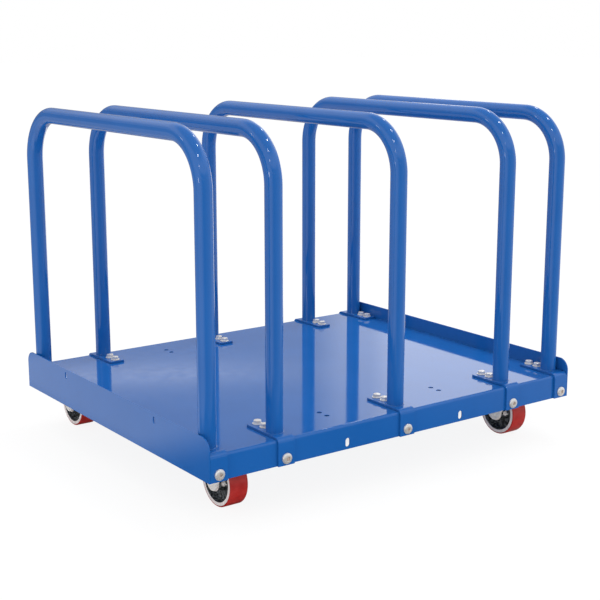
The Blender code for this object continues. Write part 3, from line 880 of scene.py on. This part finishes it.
def make_hoops():
    """The five hoops, each on two brackets, with a weld round each foot."""
    bar = bracket()
    feet = []
    for number in HOOPS:
        x = hoop_x(number)
        fit(f"hoop_{number}_tube", hoop(x), "blue", "frame", f"hoop_{number}")
        for name, side in SIDES:
            turn = IN_PLACE if side < 0 else HALF_TURN
            place = shift(x, side * HALF_DEPTH, DECK_TOP) @ turn
            fit(f"hoop_{number}_{name}_angle", placed(bar, place), "blue", "frame",
                f"hoop_{number}_{name}_bracket")
            feet.append((x, side * (HOOP_HIGH.y - TUBE_RADIUS), BRACKET_TOP))
    beads = grown(points_mesh(feet), WELD_BEADS, "blue", {
        "Ring radius": TUBE_RADIUS, "Bead radius": WELD_BEAD_RADIUS, "Ripples": WELD_RIPPLES,
        "Ripple share": WELD_RIPPLE_SHARE})
    fit("leg_welds", smooth(beads, ROUND_ANGLE), "blue", "frame")


# Fasteners


def hex_block(across_flats, low, high, both=False):
    """A hexagon with its upper corners chamfered, or both its ends.

    The cone of a chamfer runs on past the flat end, so that no faces of the two lie in one plane.
    """
    corner = across_flats / math.sqrt(3)
    flat = across_flats / 2 * HEX_CHAMFER_SHARE
    wide = corner + CUT_OVERRUN
    narrow = flat - CUT_OVERRUN
    drop = (wide - flat) * HEX_CHAMFER_SLOPE
    rise = CUT_OVERRUN * HEX_CHAMFER_SLOPE
    end = [(wide, low - CUT_OVERRUN), (0, low - CUT_OVERRUN)]
    if both:
        end = [(wide, low + drop), (narrow, low - rise), (0, low - rise)]
    lens = turned([(0, high + rise), (narrow, high + rise), (wide, high - drop)] + end, 2 * HOLE_STEPS)
    block = placed(prism([hexagon(across_flats)], high - low), shift(z=(low + high) / 2))
    return shaped(block, lens, "INTERSECT")


def thread(radius, low, high):
    """The ridged end of a bolt, its tip down."""
    count = int((high - low) / THREAD_PITCH)
    root = radius - THREAD_DEPTH
    profile = [(0, high), (root, high)]
    for index in range(count):
        top = high - index * THREAD_PITCH
        profile += [(radius, top - THREAD_PITCH / 2), (root, top - THREAD_PITCH)]
    profile += [(root - THREAD_DEPTH, low - THREAD_DEPTH), (0, low - THREAD_DEPTH)]
    return turned(profile, HOLE_STEPS // 2)


def washer(low):
    """A flat washer."""
    return ring(BOLT_RADIUS, WASHER_RADIUS, low, low + WASHER_THICKNESS, edge=SEAT_GAP)


def hex_bolt_head():
    """A bolt's head and washer, standing on zero."""
    head = hex_block(HEX_FLATS, WASHER_THICKNESS, WASHER_THICKNESS + HEX_HEAD_HEIGHT)
    neck = rod(HEX_FLATS / 2 * HEX_CHAMFER_SHARE, WASHER_THICKNESS / 2, WASHER_THICKNESS + SEAT_GAP)
    return smooth(joined(head, neck, washer(0)))


def nut_stack(height):
    """A washer, a nut and the bolt's end, hanging below zero."""
    base = -WASHER_THICKNESS
    nut = hex_block(HEX_FLATS, base - height, base, both=True)
    nut = shaped(nut, rod(BOLT_RADIUS, base - 2 * height, height))
    end = thread(BOLT_RADIUS - THREAD_DEPTH / 2, base - height - BOLT_TIP, -WASHER_THICKNESS / 2)
    return smooth(joined(nut, end, washer(-WASHER_THICKNESS)))


def dome(flat, reach, base, rise):
    """The profile of a domed head, from the rim of its flat top down to its widest."""
    angles = [math.radians(90 * step / BEND_STEPS) for step in range(BEND_STEPS + 1)]
    return [(flat + reach * math.sin(angle), base + rise * math.cos(angle)) for angle in angles]


def button_bolt():
    """A button-head bolt with a hexagon socket, the underside of its head at zero."""
    crown = dome(
        BUTTON_FLAT_RADIUS, BUTTON_RADIUS - BUTTON_FLAT_RADIUS, BUTTON_RIM, BUTTON_HEIGHT - BUTTON_RIM)
    head = turned([(0, BUTTON_HEIGHT)] + crown + [
        (BUTTON_RADIUS - SEAT_GAP, 0), (BOLT_RADIUS, 0), (BOLT_RADIUS, -BUTTON_SHANK), (0, -BUTTON_SHANK)],
        2 * HOLE_STEPS)
    socket = placed(prism([hexagon(SOCKET_FLATS)], 2 * SOCKET_DEPTH), shift(z=BUTTON_HEIGHT))
    mouth = SOCKET_FLATS / math.sqrt(3)
    top = BUTTON_HEIGHT + SEAT_GAP
    lead = turned([(0, top), (mouth + SEAT_GAP, top), (0, BUTTON_HEIGHT - SOCKET_DEPTH)])
    head = smooth(shaped(shaped(head, socket), lead))
    # Shade painted in the socket: its faces take the darker zinc
    for finish in ("zinc", "zinc with painted socket shade"):
        head.materials.append(FINISHES[finish][0])
    for face in head.polygons:
        inside = math.hypot(face.center.x, face.center.y) < mouth
        face.material_index = int(inside and 0 < face.center.z < BUTTON_HEIGHT - SEAT_GAP)
    return head


def copies(fastener, places, turn=(0, 0, 0)):
    """One zinc-plated mesh with a copy of the fastener at every place."""
    model = scratch(fastener)
    mesh = grown(points_mesh(places), COPIES, "zinc", {"Fastener": model, "Turn": turn})
    bpy.data.objects.remove(model)
    return mesh


def make_fasteners():
    """Bolts, washers and nuts that hold the brackets."""
    tops = []
    for number in HOOPS:
        for _, side in SIDES:
            for row in bolt_rows():
                tops.append((hoop_x(number), side * (HALF_DEPTH - row), BRACKET_TOP))
    fit("deck_bolts", copies(hex_bolt_head(), tops), "zinc", "frame")
    below = [(x, y, DECK_UNDERSIDE) for x, y, _ in tops]
    fit("deck_nuts", copies(nut_stack(NUT_HEIGHT), below), "zinc", "frame")
    bolt = button_bolt()
    jam_nut = nut_stack(JAM_NUT_HEIGHT)
    height = DECK_TOP - SIDE_BOLT_DROP
    for name, side in SIDES:
        turn = Z_TO_FRONT if side < 0 else HALF_TURN @ Z_TO_FRONT
        for number in HOOPS:
            roll = Matrix.Rotation(number * math.radians(BUTTON_ROLL), 4, "Z")
            place = shift(hoop_x(number), side * (HALF_DEPTH + BRACKET_SKIN), height) @ turn @ roll
            fit(f"hoop_{number}_{name}_button_bolt", placed(bolt, place), "zinc", "frame",
                f"hoop_{number}_{name}_bolt")
        spots = [(hoop_x(number), side * (HALF_DEPTH - SHEET), height) for number in HOOPS]
        fit(f"{name}_flange_nuts", copies(jam_nut, spots, turn.to_euler()), "zinc", "frame")


# Casters


def top_plate():
    """A caster's top plate and the swivel's upper race, the plate's top at zero."""
    plate = prism([round_rectangle(PLATE_LENGTH / 2, PLATE_WIDTH / 2, PLATE_CORNER_RADIUS)], PLATE_THICKNESS)
    root = -PLATE_THICKNESS / 2
    plate.transform(shift(z=root))
    low = -PLATE_THICKNESS - RACE_HEIGHT
    inner = RACE_OUTER_RADIUS - RACE_WALL
    lip = RACE_WALL / 2
    neck = RACE_OUTER_RADIUS - lip
    race = turned([(inner, root), (neck, root), (neck, -PLATE_THICKNESS - lip),
                   (RACE_OUTER_RADIUS, -PLATE_THICKNESS - 2 * lip), (RACE_OUTER_RADIUS, low + SEAT_GAP),
                   (RACE_OUTER_RADIUS - SEAT_GAP, low), (inner, low)], 2 * HOLE_STEPS, closed=True)
    return softened(shaped(plate, race, "UNION"), PLATE_EDGE / 2)


def fork_outline():
    """The fork seen from its side, in YZ, with legs that reach back to a round end about the axle."""
    shoulder = FORK_TOP - FORK_SHOULDER_DROP
    axle = Vector((TRAIL, WHEEL_RADIUS))
    angles = []
    for y, turn in ((-FORK_CROWN_HALF_LENGTH, 1), (FORK_CROWN_HALF_LENGTH, -1)):
        offset = Vector((y, shoulder)) - axle
        spread = turn * math.acos(FORK_END_RADIUS / offset.length)
        angles.append(math.degrees(math.atan2(offset.y, offset.x) + spread))
    top = FORK_TOP + CUT_OVERRUN
    outline = [(-FORK_CROWN_HALF_LENGTH, top), (-FORK_CROWN_HALF_LENGTH, shoulder)]
    outline += arc(axle, FORK_END_RADIUS, angles[0], angles[1] + 360, 2 * ARC_STEPS)
    outline += [(FORK_CROWN_HALF_LENGTH, shoulder), (FORK_CROWN_HALF_LENGTH, top)]
    return outline


def fork():
    """A caster's fork about its swivel axis, bent from one plate, with the lower race on its crown."""
    leg_bottom = WHEEL_RADIUS - FORK_END_RADIUS - CUT_OVERRUN
    path = channel(FORK_HALF_WIDTH, FORK_TOP, FORK_BEND_RADIUS, leg_bottom)
    reach = 2 * (FORK_CROWN_HALF_LENGTH + TRAIL + FORK_END_RADIUS)
    sheet = placed(bent_sheet(path, reach, FORK_SHEET), QUARTER_BACK)
    side_view = placed(prism([fork_outline()], 2 * (FORK_HALF_WIDTH + CUT_OVERRUN)), Z_TO_RIGHT)
    sheet = shaped(sheet, side_view, "INTERSECT")
    axle_hole = rod(AXLE_RADIUS + SEAT_GAP, -2 * FORK_HALF_WIDTH, 2 * FORK_HALF_WIDTH)
    sheet = shaped(sheet, placed(axle_hole, shift(y=TRAIL, z=WHEEL_RADIUS) @ Z_TO_RIGHT))
    sheet = softened(sheet, FORK_EDGE)
    top = FORK_TOP + LOWER_RACE_HEIGHT
    foot = FORK_TOP - SEAT_GAP
    bore = KINGPIN_RADIUS + RUNNING_GAP
    race = turned([(bore, top), (LOWER_RACE_RADIUS - LOWER_RACE_CHAMFER, top),
                   (LOWER_RACE_RADIUS, top - LOWER_RACE_CHAMFER), (LOWER_RACE_RADIUS, foot), (bore, foot)],
                  2 * HOLE_STEPS, closed=True)
    return sheet, smooth(race)


def kingpin():
    """The pin that the fork turns on, its top at zero."""
    head_top = FORK_TOP - FORK_SHEET - SEAT_GAP - CASTER_TOP
    low = head_top - KINGPIN_HEAD_HEIGHT
    chamfer = AXLE_HEAD_HEIGHT / 2
    return smooth(turned([
        (0, 0), (KINGPIN_RADIUS, 0), (KINGPIN_RADIUS, head_top), (KINGPIN_HEAD_RADIUS, head_top),
        (KINGPIN_HEAD_RADIUS, low + chamfer), (KINGPIN_HEAD_RADIUS - chamfer, low), (0, low)]))


def axle_pieces():
    """The axle bolt with its low round head up, and its lock nut, about the axle."""
    seat = FORK_HALF_WIDTH + SEAT_GAP
    nut_low = -seat - AXLE_NUT_HEIGHT
    bolt = turned(dome(0, AXLE_HEAD_RADIUS, seat, AXLE_HEAD_HEIGHT) + [
        (AXLE_HEAD_RADIUS, seat), (AXLE_RADIUS, seat), (AXLE_RADIUS, nut_low), (0, nut_low)])
    end = thread(AXLE_RADIUS, nut_low - AXLE_END + THREAD_DEPTH, nut_low + THREAD_PITCH)
    nut = hex_block(AXLE_NUT_FLATS, nut_low, -seat, both=True)
    nut = shaped(nut, rod(AXLE_RADIUS + SEAT_GAP, nut_low - CUT_OVERRUN, CUT_OVERRUN))
    return smooth(joined(bolt, end)), smooth(nut)


def mirrored(half_profile):
    """A closed profile from its upper half, which ends on the outer side."""
    return half_profile + [(radius, -height) for radius, height in reversed(half_profile)]


def wheel_core():
    """The wheel's cast core about Z: hub, web and rim, their corners filleted."""
    hub_foot = HUB_RADIUS + HUB_DRAFT
    rim_foot = RIM_INNER_RADIUS - RIM_DRAFT
    fillet = WEB_FILLET
    face = HUB_HALF_LENGTH
    half = [(HUB_BORE, face - HUB_CHAMFER), (HUB_BORE + HUB_CHAMFER, face),
            (HUB_RADIUS - HUB_CHAMFER, face), (HUB_RADIUS, face - HUB_CHAMFER)]
    half += arc((hub_foot + fillet, WEB_HALF + fillet), fillet, 180, 270, BEND_STEPS // 2)
    half += arc((rim_foot - fillet, WEB_HALF + fillet), fillet, 270, 360, BEND_STEPS // 2)
    half += [(RIM_INNER_RADIUS, WHEEL_HALF_WIDTH - HUB_CHAMFER),
             (RIM_INNER_RADIUS + HUB_CHAMFER, WHEEL_HALF_WIDTH),
             (TREAD_INNER_RADIUS - SEAT_GAP, WHEEL_HALF_WIDTH)]
    return smooth(turned(mirrored(half), WHEEL_STEPS, closed=True))


def mark_faces(mesh, flats):
    """Iron all over, but turned bright on the faces at one of the heights on either side."""
    mesh.materials.append(FINISHES["iron"][0])
    mesh.materials.append(FINISHES["face"][0])
    for face in mesh.polygons:
        heights = [abs(mesh.vertices[index].co.z) for index in face.vertices]
        if any(all(abs(height - flat) < SAME_LEVEL for height in heights) for flat in flats):
            face.material_index = 1


def wheel_tread():
    """The tread about Z, with round shoulders and a fine land beside the rim."""
    shoulder = TREAD_SHOULDER
    half = [(TREAD_INNER_RADIUS, WHEEL_HALF_WIDTH)]
    half += arc((WHEEL_RADIUS - shoulder, WHEEL_HALF_WIDTH - shoulder), shoulder, 90, 0, BEND_STEPS // 2)
    return smooth(turned(mirrored(half), WHEEL_STEPS, closed=True))


def grease_pieces():
    """A boss on the hub with a grease fitting, pointing out along X from the wheel's axis."""
    chamfer = 2 * SEAT_GAP
    boss = turned([(0, GREASE_BOSS_REACH), (GREASE_BOSS_RADIUS - chamfer, GREASE_BOSS_REACH),
                   (GREASE_BOSS_RADIUS, GREASE_BOSS_REACH - chamfer), (GREASE_BOSS_RADIUS, GREASE_BOSS_FOOT),
                   (0, GREASE_BOSS_FOOT)])
    length = GREASE_TIP_REACH - GREASE_BOSS_REACH
    sides = [(GREASE_NECK_RADIUS * wide, GREASE_TIP_REACH - length * down) for wide, down in GREASE_NIPPLE]
    nipple = turned([(0, GREASE_TIP_REACH)] + sides + [(0, GREASE_BOSS_REACH)])
    base = hex_block(GREASE_HEX_FLATS, GREASE_BOSS_REACH - SEAT_GAP, GREASE_BOSS_REACH + GREASE_HEX_HEIGHT)
    return smooth(boss), smooth(joined(base, nipple))


def make_casters():
    """The four swivel casters: top plate, fork, axle and wheel."""
    plate = top_plate()
    fork_sheet, lower_race = fork()
    pin = kingpin()
    axle_bolt, axle_nut = axle_pieces()
    core = wheel_core()
    mark_faces(core, (WHEEL_HALF_WIDTH, HUB_HALF_LENGTH))
    tread = wheel_tread()
    boss, nipple = grease_pieces()
    stud_nut = nut_stack(NUT_HEIGHT)
    for name in CASTERS:
        swivel_at = JOINT_AT[f"{name}_swivel_turn"]
        upright = shift(swivel_at.x, swivel_at.y)
        top = shift(swivel_at.x, swivel_at.y, CASTER_TOP)
        axle = Matrix.Translation(JOINT_AT[f"{name}_wheel_roll"])
        outwards = axle @ shift(x=-GREASE_SIDE) @ Z_TO_FRONT
        swivel = f"{name}_swivel"
        wheel = f"{name}_wheel"
        spots = [(swivel_at.x + side_x * STUD_PLACES[0], swivel_at.y + side_y * STUD_PLACES[1],
                  CASTER_TOP - PLATE_THICKNESS) for side_x in (-1, 1) for side_y in (-1, 1)]
        middle = points_mesh([(swivel_at.x, swivel_at.y, RACE_BOTTOM + RACE_HEIGHT / 2)])
        balls = grown(middle, BALL_RING, "steel", {
            "Ring radius": BALL_RING_RADIUS, "Ball radius": BALL_RADIUS, "Balls": BALL_COUNT})
        keep_node(f"{name}_axle_sleeve", "steel")
        for piece, mesh, place, finish, body, *nodes in (
                ("top_plate", plate, top, "zinc", "frame", "caster_plate"),
                ("swivel_pin", pin, top, "zinc", "frame", "kingpin"),
                ("plate_nuts", copies(stud_nut, spots), IN_PLACE, "zinc", "frame"),
                ("swivel_balls", smooth(balls, ROUND_ANGLE), IN_PLACE, "steel", "frame"),
                ("fork_sheet", fork_sheet, upright, "fork zinc", swivel, "fork"),
                ("lower_race", lower_race, upright, "zinc", swivel),
                ("axle", axle_bolt, axle @ Z_TO_LEFT, "fork zinc", swivel, "axle_bolt"),
                ("lock_nut", axle_nut, axle @ Z_TO_LEFT, "zinc", swivel, "axle_nut"),
                ("wheel_casting", core, axle @ Z_TO_RIGHT, "iron", wheel, "wheel_core"),
                ("tyre", tread, axle @ Z_TO_RIGHT, "red", wheel, "wheel_tread"),
                ("grease_boss", boss, outwards, "face", wheel),
                ("grease_fitting", nipple, outwards, "fork zinc", wheel)):
            fit(f"{name}_{piece}", placed(mesh, place), finish, body, *[f"{name}_{node}" for node in nodes])


make_deck()
make_end_plates()
make_hoops()
make_fasteners()
make_casters()


# Studio

CAMERA_AT = Vector((-1.6055, -2.2320, 0.9116))
CAMERA_AZIMUTH = -36.0
CAMERA_ELEVATION = 12.373
CAMERA_LENS = 74.13
SENSOR = 36.0

# Lamps, their powers in watts
LAMP_AT = (1.60, 0.35, 2.95)
LAMP_TARGET = (0, 0, 0.2)
KEY_SIZES = (1.6, 1.6)
KEY_POWER = 30.0
GLINT_SIZES = (0.3, 0.3)
GLINT_CENTRE = Vector((0, 0, 0.6))
GLINT_DISTANCE = 4.0
# Heading clockwise from the back and elevation in degrees, and power
GLINTS = (
    (-150, 51, 9.0),
    (122, 65, 11.0),
    (44, 21, 0.6),
    (62, 44, 3.5),
    (-135, 30, 2.4),
    (-105, 6, 2.4),
    (-60, 23, 1.5),
)

# Floor, with the stretches in metres over which its tone changes
FLOOR_HALF = 30.0
FLOOR_TONE = 0.65
FLOOR_GLOW = 0.28
SHADOW_DEPTH = 0.11
# A shadow painted on the floor beneath the deck: there the camera sees the floor darker, with no glow of its
# own
PAINTED_SHADOW_TONE = 0.25
PAINTED_SHADOW_LEFT = (-0.34, -0.15)
PAINTED_SHADOW_RIGHT = (0.48, 0.56)
PAINTED_SHADOW_FRONT = (-0.17, 0.02)
PAINTED_SHADOW_BACK = (0.12, 0.38)
NEAR_FLOOR_LEFT = 0.89
NEAR_FLOOR_FRONT = 0.05
NEAR_FLOOR_RIGHT = 0.5
NEAR_LEFT_FALL = (-0.65, -0.5)
NEAR_BACK_RISE = (-0.1, 0.2)
NEAR_RIGHT_RISE = (0.1, 0.9)
NEAR_FLOOR_END = (0.5, 0.7)

# Light on matt surfaces, which grows with the upward part of its direction
WALL_LIGHT = 0.96
OVERHEAD_LIGHT = 1.25
OVERHEAD_RISE = (-0.1, 1.0)

# Walls and ceiling as gloss sees them, with the stretches in degrees over which their glow changes
STRIP_HEIGHT = 15.7
STRIP_BLUR = 0.8
STRIP_GLOW = 0.66
STRIP_END = (29.0, 40.0)
BAND_DARKNESS = 0.5
BAND_FOOT = (-8.0, -2.0)
BAND_TOP = (14.0, 20.0)
BAND_LEFT = (-70.0, -50.0)
BAND_RIGHT = (20.0, 26.0)
LOW_WALL_SHARE = 1.4
LOW_WALL_END = (-34.0, -18.0)
CEILING_START = (19.5, 30.0)
CEILING_GLOW = 0.9
ZENITH_START = (40.0, 58.0)
ZENITH_GLOW = 0.4
# Heading in degrees and glow, all the way round
WALL_GLOW = (
    (-180, 0.30), (-156, 0.20), (-145, 0.25), (-134, 0.55), (-118, 0.90), (-95, 0.95), (-78, 0.85),
    (-65, 0.62), (-30, 0.56), (-20, 0.45), (-14, 0.45), (34, 0.46), (35, 0.49), (37.5, 0.50), (37.8, 0.80),
    (38.0, 0.92), (39.4, 0.98), (39.8, 1.48), (60, 1.50), (90, 0.80), (119, 0.80), (135, 0.53), (162, 0.40),
    (180, 0.30))


def make_camera():
    """The camera where the photograph was taken from."""
    azimuth = math.radians(CAMERA_AZIMUTH)
    elevation = math.radians(CAMERA_ELEVATION)
    back = Vector((math.sin(azimuth) * math.cos(elevation), -math.cos(azimuth) * math.cos(elevation),
                   math.sin(elevation)))
    data = bpy.data.cameras.new("camera")
    data.lens = CAMERA_LENS
    data.sensor_width = SENSOR
    camera = linked("camera", data)
    camera.location = CAMERA_AT
    camera.rotation_euler = back.to_track_quat("Z", "Y").to_euler()
    bpy.context.scene.camera = camera


def soft_step(tree, value, low, high, bottom, top):
    """A level that goes smoothly from a bottom to a top as a value goes from low to high."""
    span = add(tree, "ShaderNodeMapRange", interpolation_type="SMOOTHSTEP",
               values={"From Min": low, "From Max": high, "To Min": bottom, "To Max": top})
    tree.links.new(value, span.inputs["Value"])
    return span.outputs["Result"]


def math_node(tree, operation, first, second=0.0):
    """The result of a math node on two numbers or sockets."""
    node = add(tree, "ShaderNodeMath", operation=operation)
    feed(tree, node, {0: first, 1: second})
    return node.outputs[0]


def product(tree, first, *others):
    """Numbers or sockets multiplied together."""
    for other in others:
        first = math_node(tree, "MULTIPLY", first, other)
    return first


def blend(tree, factor, first, second):
    """The first value where the factor is 0, the second where it is 1."""
    mix = add(tree, "ShaderNodeMix", data_type="FLOAT")
    feed(tree, mix, {"Factor": factor, "A": first, "B": second})
    return mix.outputs["Result"]


def direction_parts(tree, coordinate):
    """The X, Y and Z of a direction or a place."""
    where = add(tree, "ShaderNodeTexCoord")
    parts = add(tree, "ShaderNodeSeparateXYZ")
    tree.links.new(where.outputs[coordinate], parts.inputs["Vector"])
    return parts.outputs["X"], parts.outputs["Y"], parts.outputs["Z"]


def wall_glow(tree, heading):
    """How bright the studio's walls look in gloss, all the way round."""
    place = math_node(tree, "ADD", math_node(tree, "DIVIDE", heading, 360.0), 0.5)
    ramp = add(tree, "ShaderNodeValToRGB")
    stops = ramp.color_ramp.elements
    while len(stops) < len(WALL_GLOW):
        stops.new(0.5)
    for stop, (degrees, glow) in zip(stops, WALL_GLOW):
        stop.position = degrees / 360 + 0.5
        stop.color = (glow, glow, glow, 1)
    tree.links.new(place, ramp.inputs["Fac"])
    return ramp.outputs["Color"]


def make_world():
    """A white studio, a little brighter overhead. Gloss sees its walls, which differ all the way round."""
    world = bpy.data.worlds.new("studio")
    bpy.context.scene.world = world
    world.use_nodes = True
    tree = world.node_tree
    background = tree.nodes["Background"]
    background.inputs["Color"].default_value = (1, 1, 1, 1)
    x, y, z = direction_parts(tree, "Generated")
    heading = product(tree, math_node(tree, "ARCTAN2", x, y), math.degrees(1))
    height = product(tree, math_node(tree, "ARCSINE", z), math.degrees(1))
    strip = product(
        tree,
        soft_step(tree, height, STRIP_HEIGHT - STRIP_BLUR, STRIP_HEIGHT, 0.0, 1.0),
        soft_step(tree, height, STRIP_HEIGHT, STRIP_HEIGHT + STRIP_BLUR, STRIP_GLOW, 0.0),
        soft_step(tree, heading, *STRIP_END, 1.0, 0.0))
    band = product(
        tree,
        soft_step(tree, height, *BAND_FOOT, 0.0, 1.0),
        soft_step(tree, height, *BAND_TOP, BAND_DARKNESS, 0.0),
        soft_step(tree, heading, *BAND_RIGHT, 1.0, 0.0),
        soft_step(tree, heading, *BAND_LEFT, 0.0, 1.0))
    walls = product(
        tree,
        wall_glow(tree, heading),
        math_node(tree, "SUBTRACT", 1.0, band),
        soft_step(tree, height, *LOW_WALL_END, LOW_WALL_SHARE, 1.0))
    ceiling = soft_step(tree, height, *ZENITH_START, CEILING_GLOW, ZENITH_GLOW)
    walls = blend(tree, soft_step(tree, height, *CEILING_START, 0.0, 1.0), walls, ceiling)
    walls = math_node(tree, "ADD", walls, strip)
    rays = add(tree, "ShaderNodeLightPath").outputs
    light = soft_step(tree, z, *OVERHEAD_RISE, WALL_LIGHT, OVERHEAD_LIGHT)
    strength = blend(tree, rays["Is Glossy Ray"], light, walls)
    seen = math_node(tree, "MAXIMUM", rays["Is Camera Ray"], rays["Is Transmission Ray"])
    tree.links.new(blend(tree, seen, strength, 1.0), background.inputs["Strength"])


def make_floor():
    """A white floor that keeps the cart's shadow, and has a deeper shadow painted on it beneath the deck.

    In gloss it is lit unevenly close to the cart and clear past it, so that the walls show.
    """
    work = bmesh.new()
    bmesh.ops.create_grid(work, x_segments=1, y_segments=1, size=FLOOR_HALF)
    floor = linked("floor", from_work(work, "floor"))
    material = bpy.data.materials.new("white_floor")
    material.use_nodes = True
    tree = material.node_tree
    shader = tree.nodes["Principled BSDF"]
    shader.inputs["Roughness"].default_value = 1
    shader.inputs["Specular IOR Level"].default_value = 0
    shader.inputs["Emission Color"].default_value = (1, 1, 1, 1)
    x, y, _ = direction_parts(tree, "Object")
    left = product(
        tree,
        soft_step(tree, x, *NEAR_LEFT_FALL, 1.0, 0.0),
        soft_step(tree, y, *NEAR_BACK_RISE, NEAR_FLOOR_FRONT, NEAR_FLOOR_LEFT))
    right = soft_step(tree, x, *NEAR_RIGHT_RISE, NEAR_FLOOR_FRONT, NEAR_FLOOR_RIGHT)
    near = math_node(tree, "ADD", left, right)
    out_x = math_node(tree, "SUBTRACT", math_node(tree, "ABSOLUTE", x), END_HIGH.x)
    out_y = math_node(tree, "SUBTRACT", math_node(tree, "ABSOLUTE", y), HALF_DEPTH)
    far_share = soft_step(tree, math_node(tree, "MAXIMUM", out_x, out_y), *NEAR_FLOOR_END, 0.0, 1.0)
    # Painted shadow: a patch beneath the deck where the floor is darker to the camera and gives no glow
    painted_shadow = product(
        tree,
        soft_step(tree, x, *PAINTED_SHADOW_LEFT, 0.0, 1.0),
        soft_step(tree, x, *PAINTED_SHADOW_RIGHT, 1.0, 0.0),
        soft_step(tree, y, *PAINTED_SHADOW_FRONT, 0.0, 1.0),
        soft_step(tree, y, *PAINTED_SHADOW_BACK, 1.0, 0.0))
    rays = add(tree, "ShaderNodeLightPath").outputs
    camera = rays["Is Camera Ray"]
    gloss = rays["Is Glossy Ray"]
    tone = blend(tree, camera, FLOOR_TONE, blend(tree, painted_shadow, SHADOW_DEPTH, PAINTED_SHADOW_TONE))
    glow = blend(tree, camera, FLOOR_GLOW, blend(tree, painted_shadow, 1.0 - SHADOW_DEPTH, 0.0))
    feed(tree, shader, {
        "Base Color": blend(tree, gloss, tone, 0.0),
        "Emission Strength": blend(tree, gloss, glow, near)})
    clear = add(tree, "ShaderNodeBsdfTransparent")
    mix = add(tree, "ShaderNodeMixShader")
    feed(tree, mix, {0: product(tree, gloss, far_share), 1: shader.outputs[0], 2: clear.outputs[0]})
    tree.links.new(mix.outputs[0], tree.nodes["Material Output"].inputs["Surface"])
    floor.data.materials.append(material)


def make_lamp(name, place, target, sizes, power, diffuse):
    """A soft lamp aimed at a point and unseen itself. It lights matt surfaces, or else shows in gloss."""
    data = bpy.data.lights.new(name, "AREA")
    data.shape = "RECTANGLE"
    data.size, data.size_y = sizes
    data.energy = power
    lamp = linked(name, data)
    lamp.location = place
    lamp.rotation_euler = (Vector(place) - Vector(target)).to_track_quat("Z", "Y").to_euler()
    lamp.visible_camera = False
    lamp.visible_diffuse = diffuse
    lamp.visible_glossy = not diffuse


def make_glints():
    """Small lamps round the cart that show in gloss alone."""
    for number, (heading, elevation, power) in enumerate(GLINTS, 1):
        turn = math.radians(heading)
        rise = math.radians(elevation)
        way = Vector((math.cos(rise) * math.sin(turn), math.cos(rise) * math.cos(turn), math.sin(rise)))
        place = GLINT_CENTRE + GLINT_DISTANCE * way
        make_lamp(f"glint_{number}", place, GLINT_CENTRE, GLINT_SIZES, power, False)


make_camera()
make_world()
make_floor()
make_lamp("key", LAMP_AT, LAMP_TARGET, KEY_SIZES, KEY_POWER, True)
make_glints()
bpy.context.scene.view_settings.view_transform = "Standard"
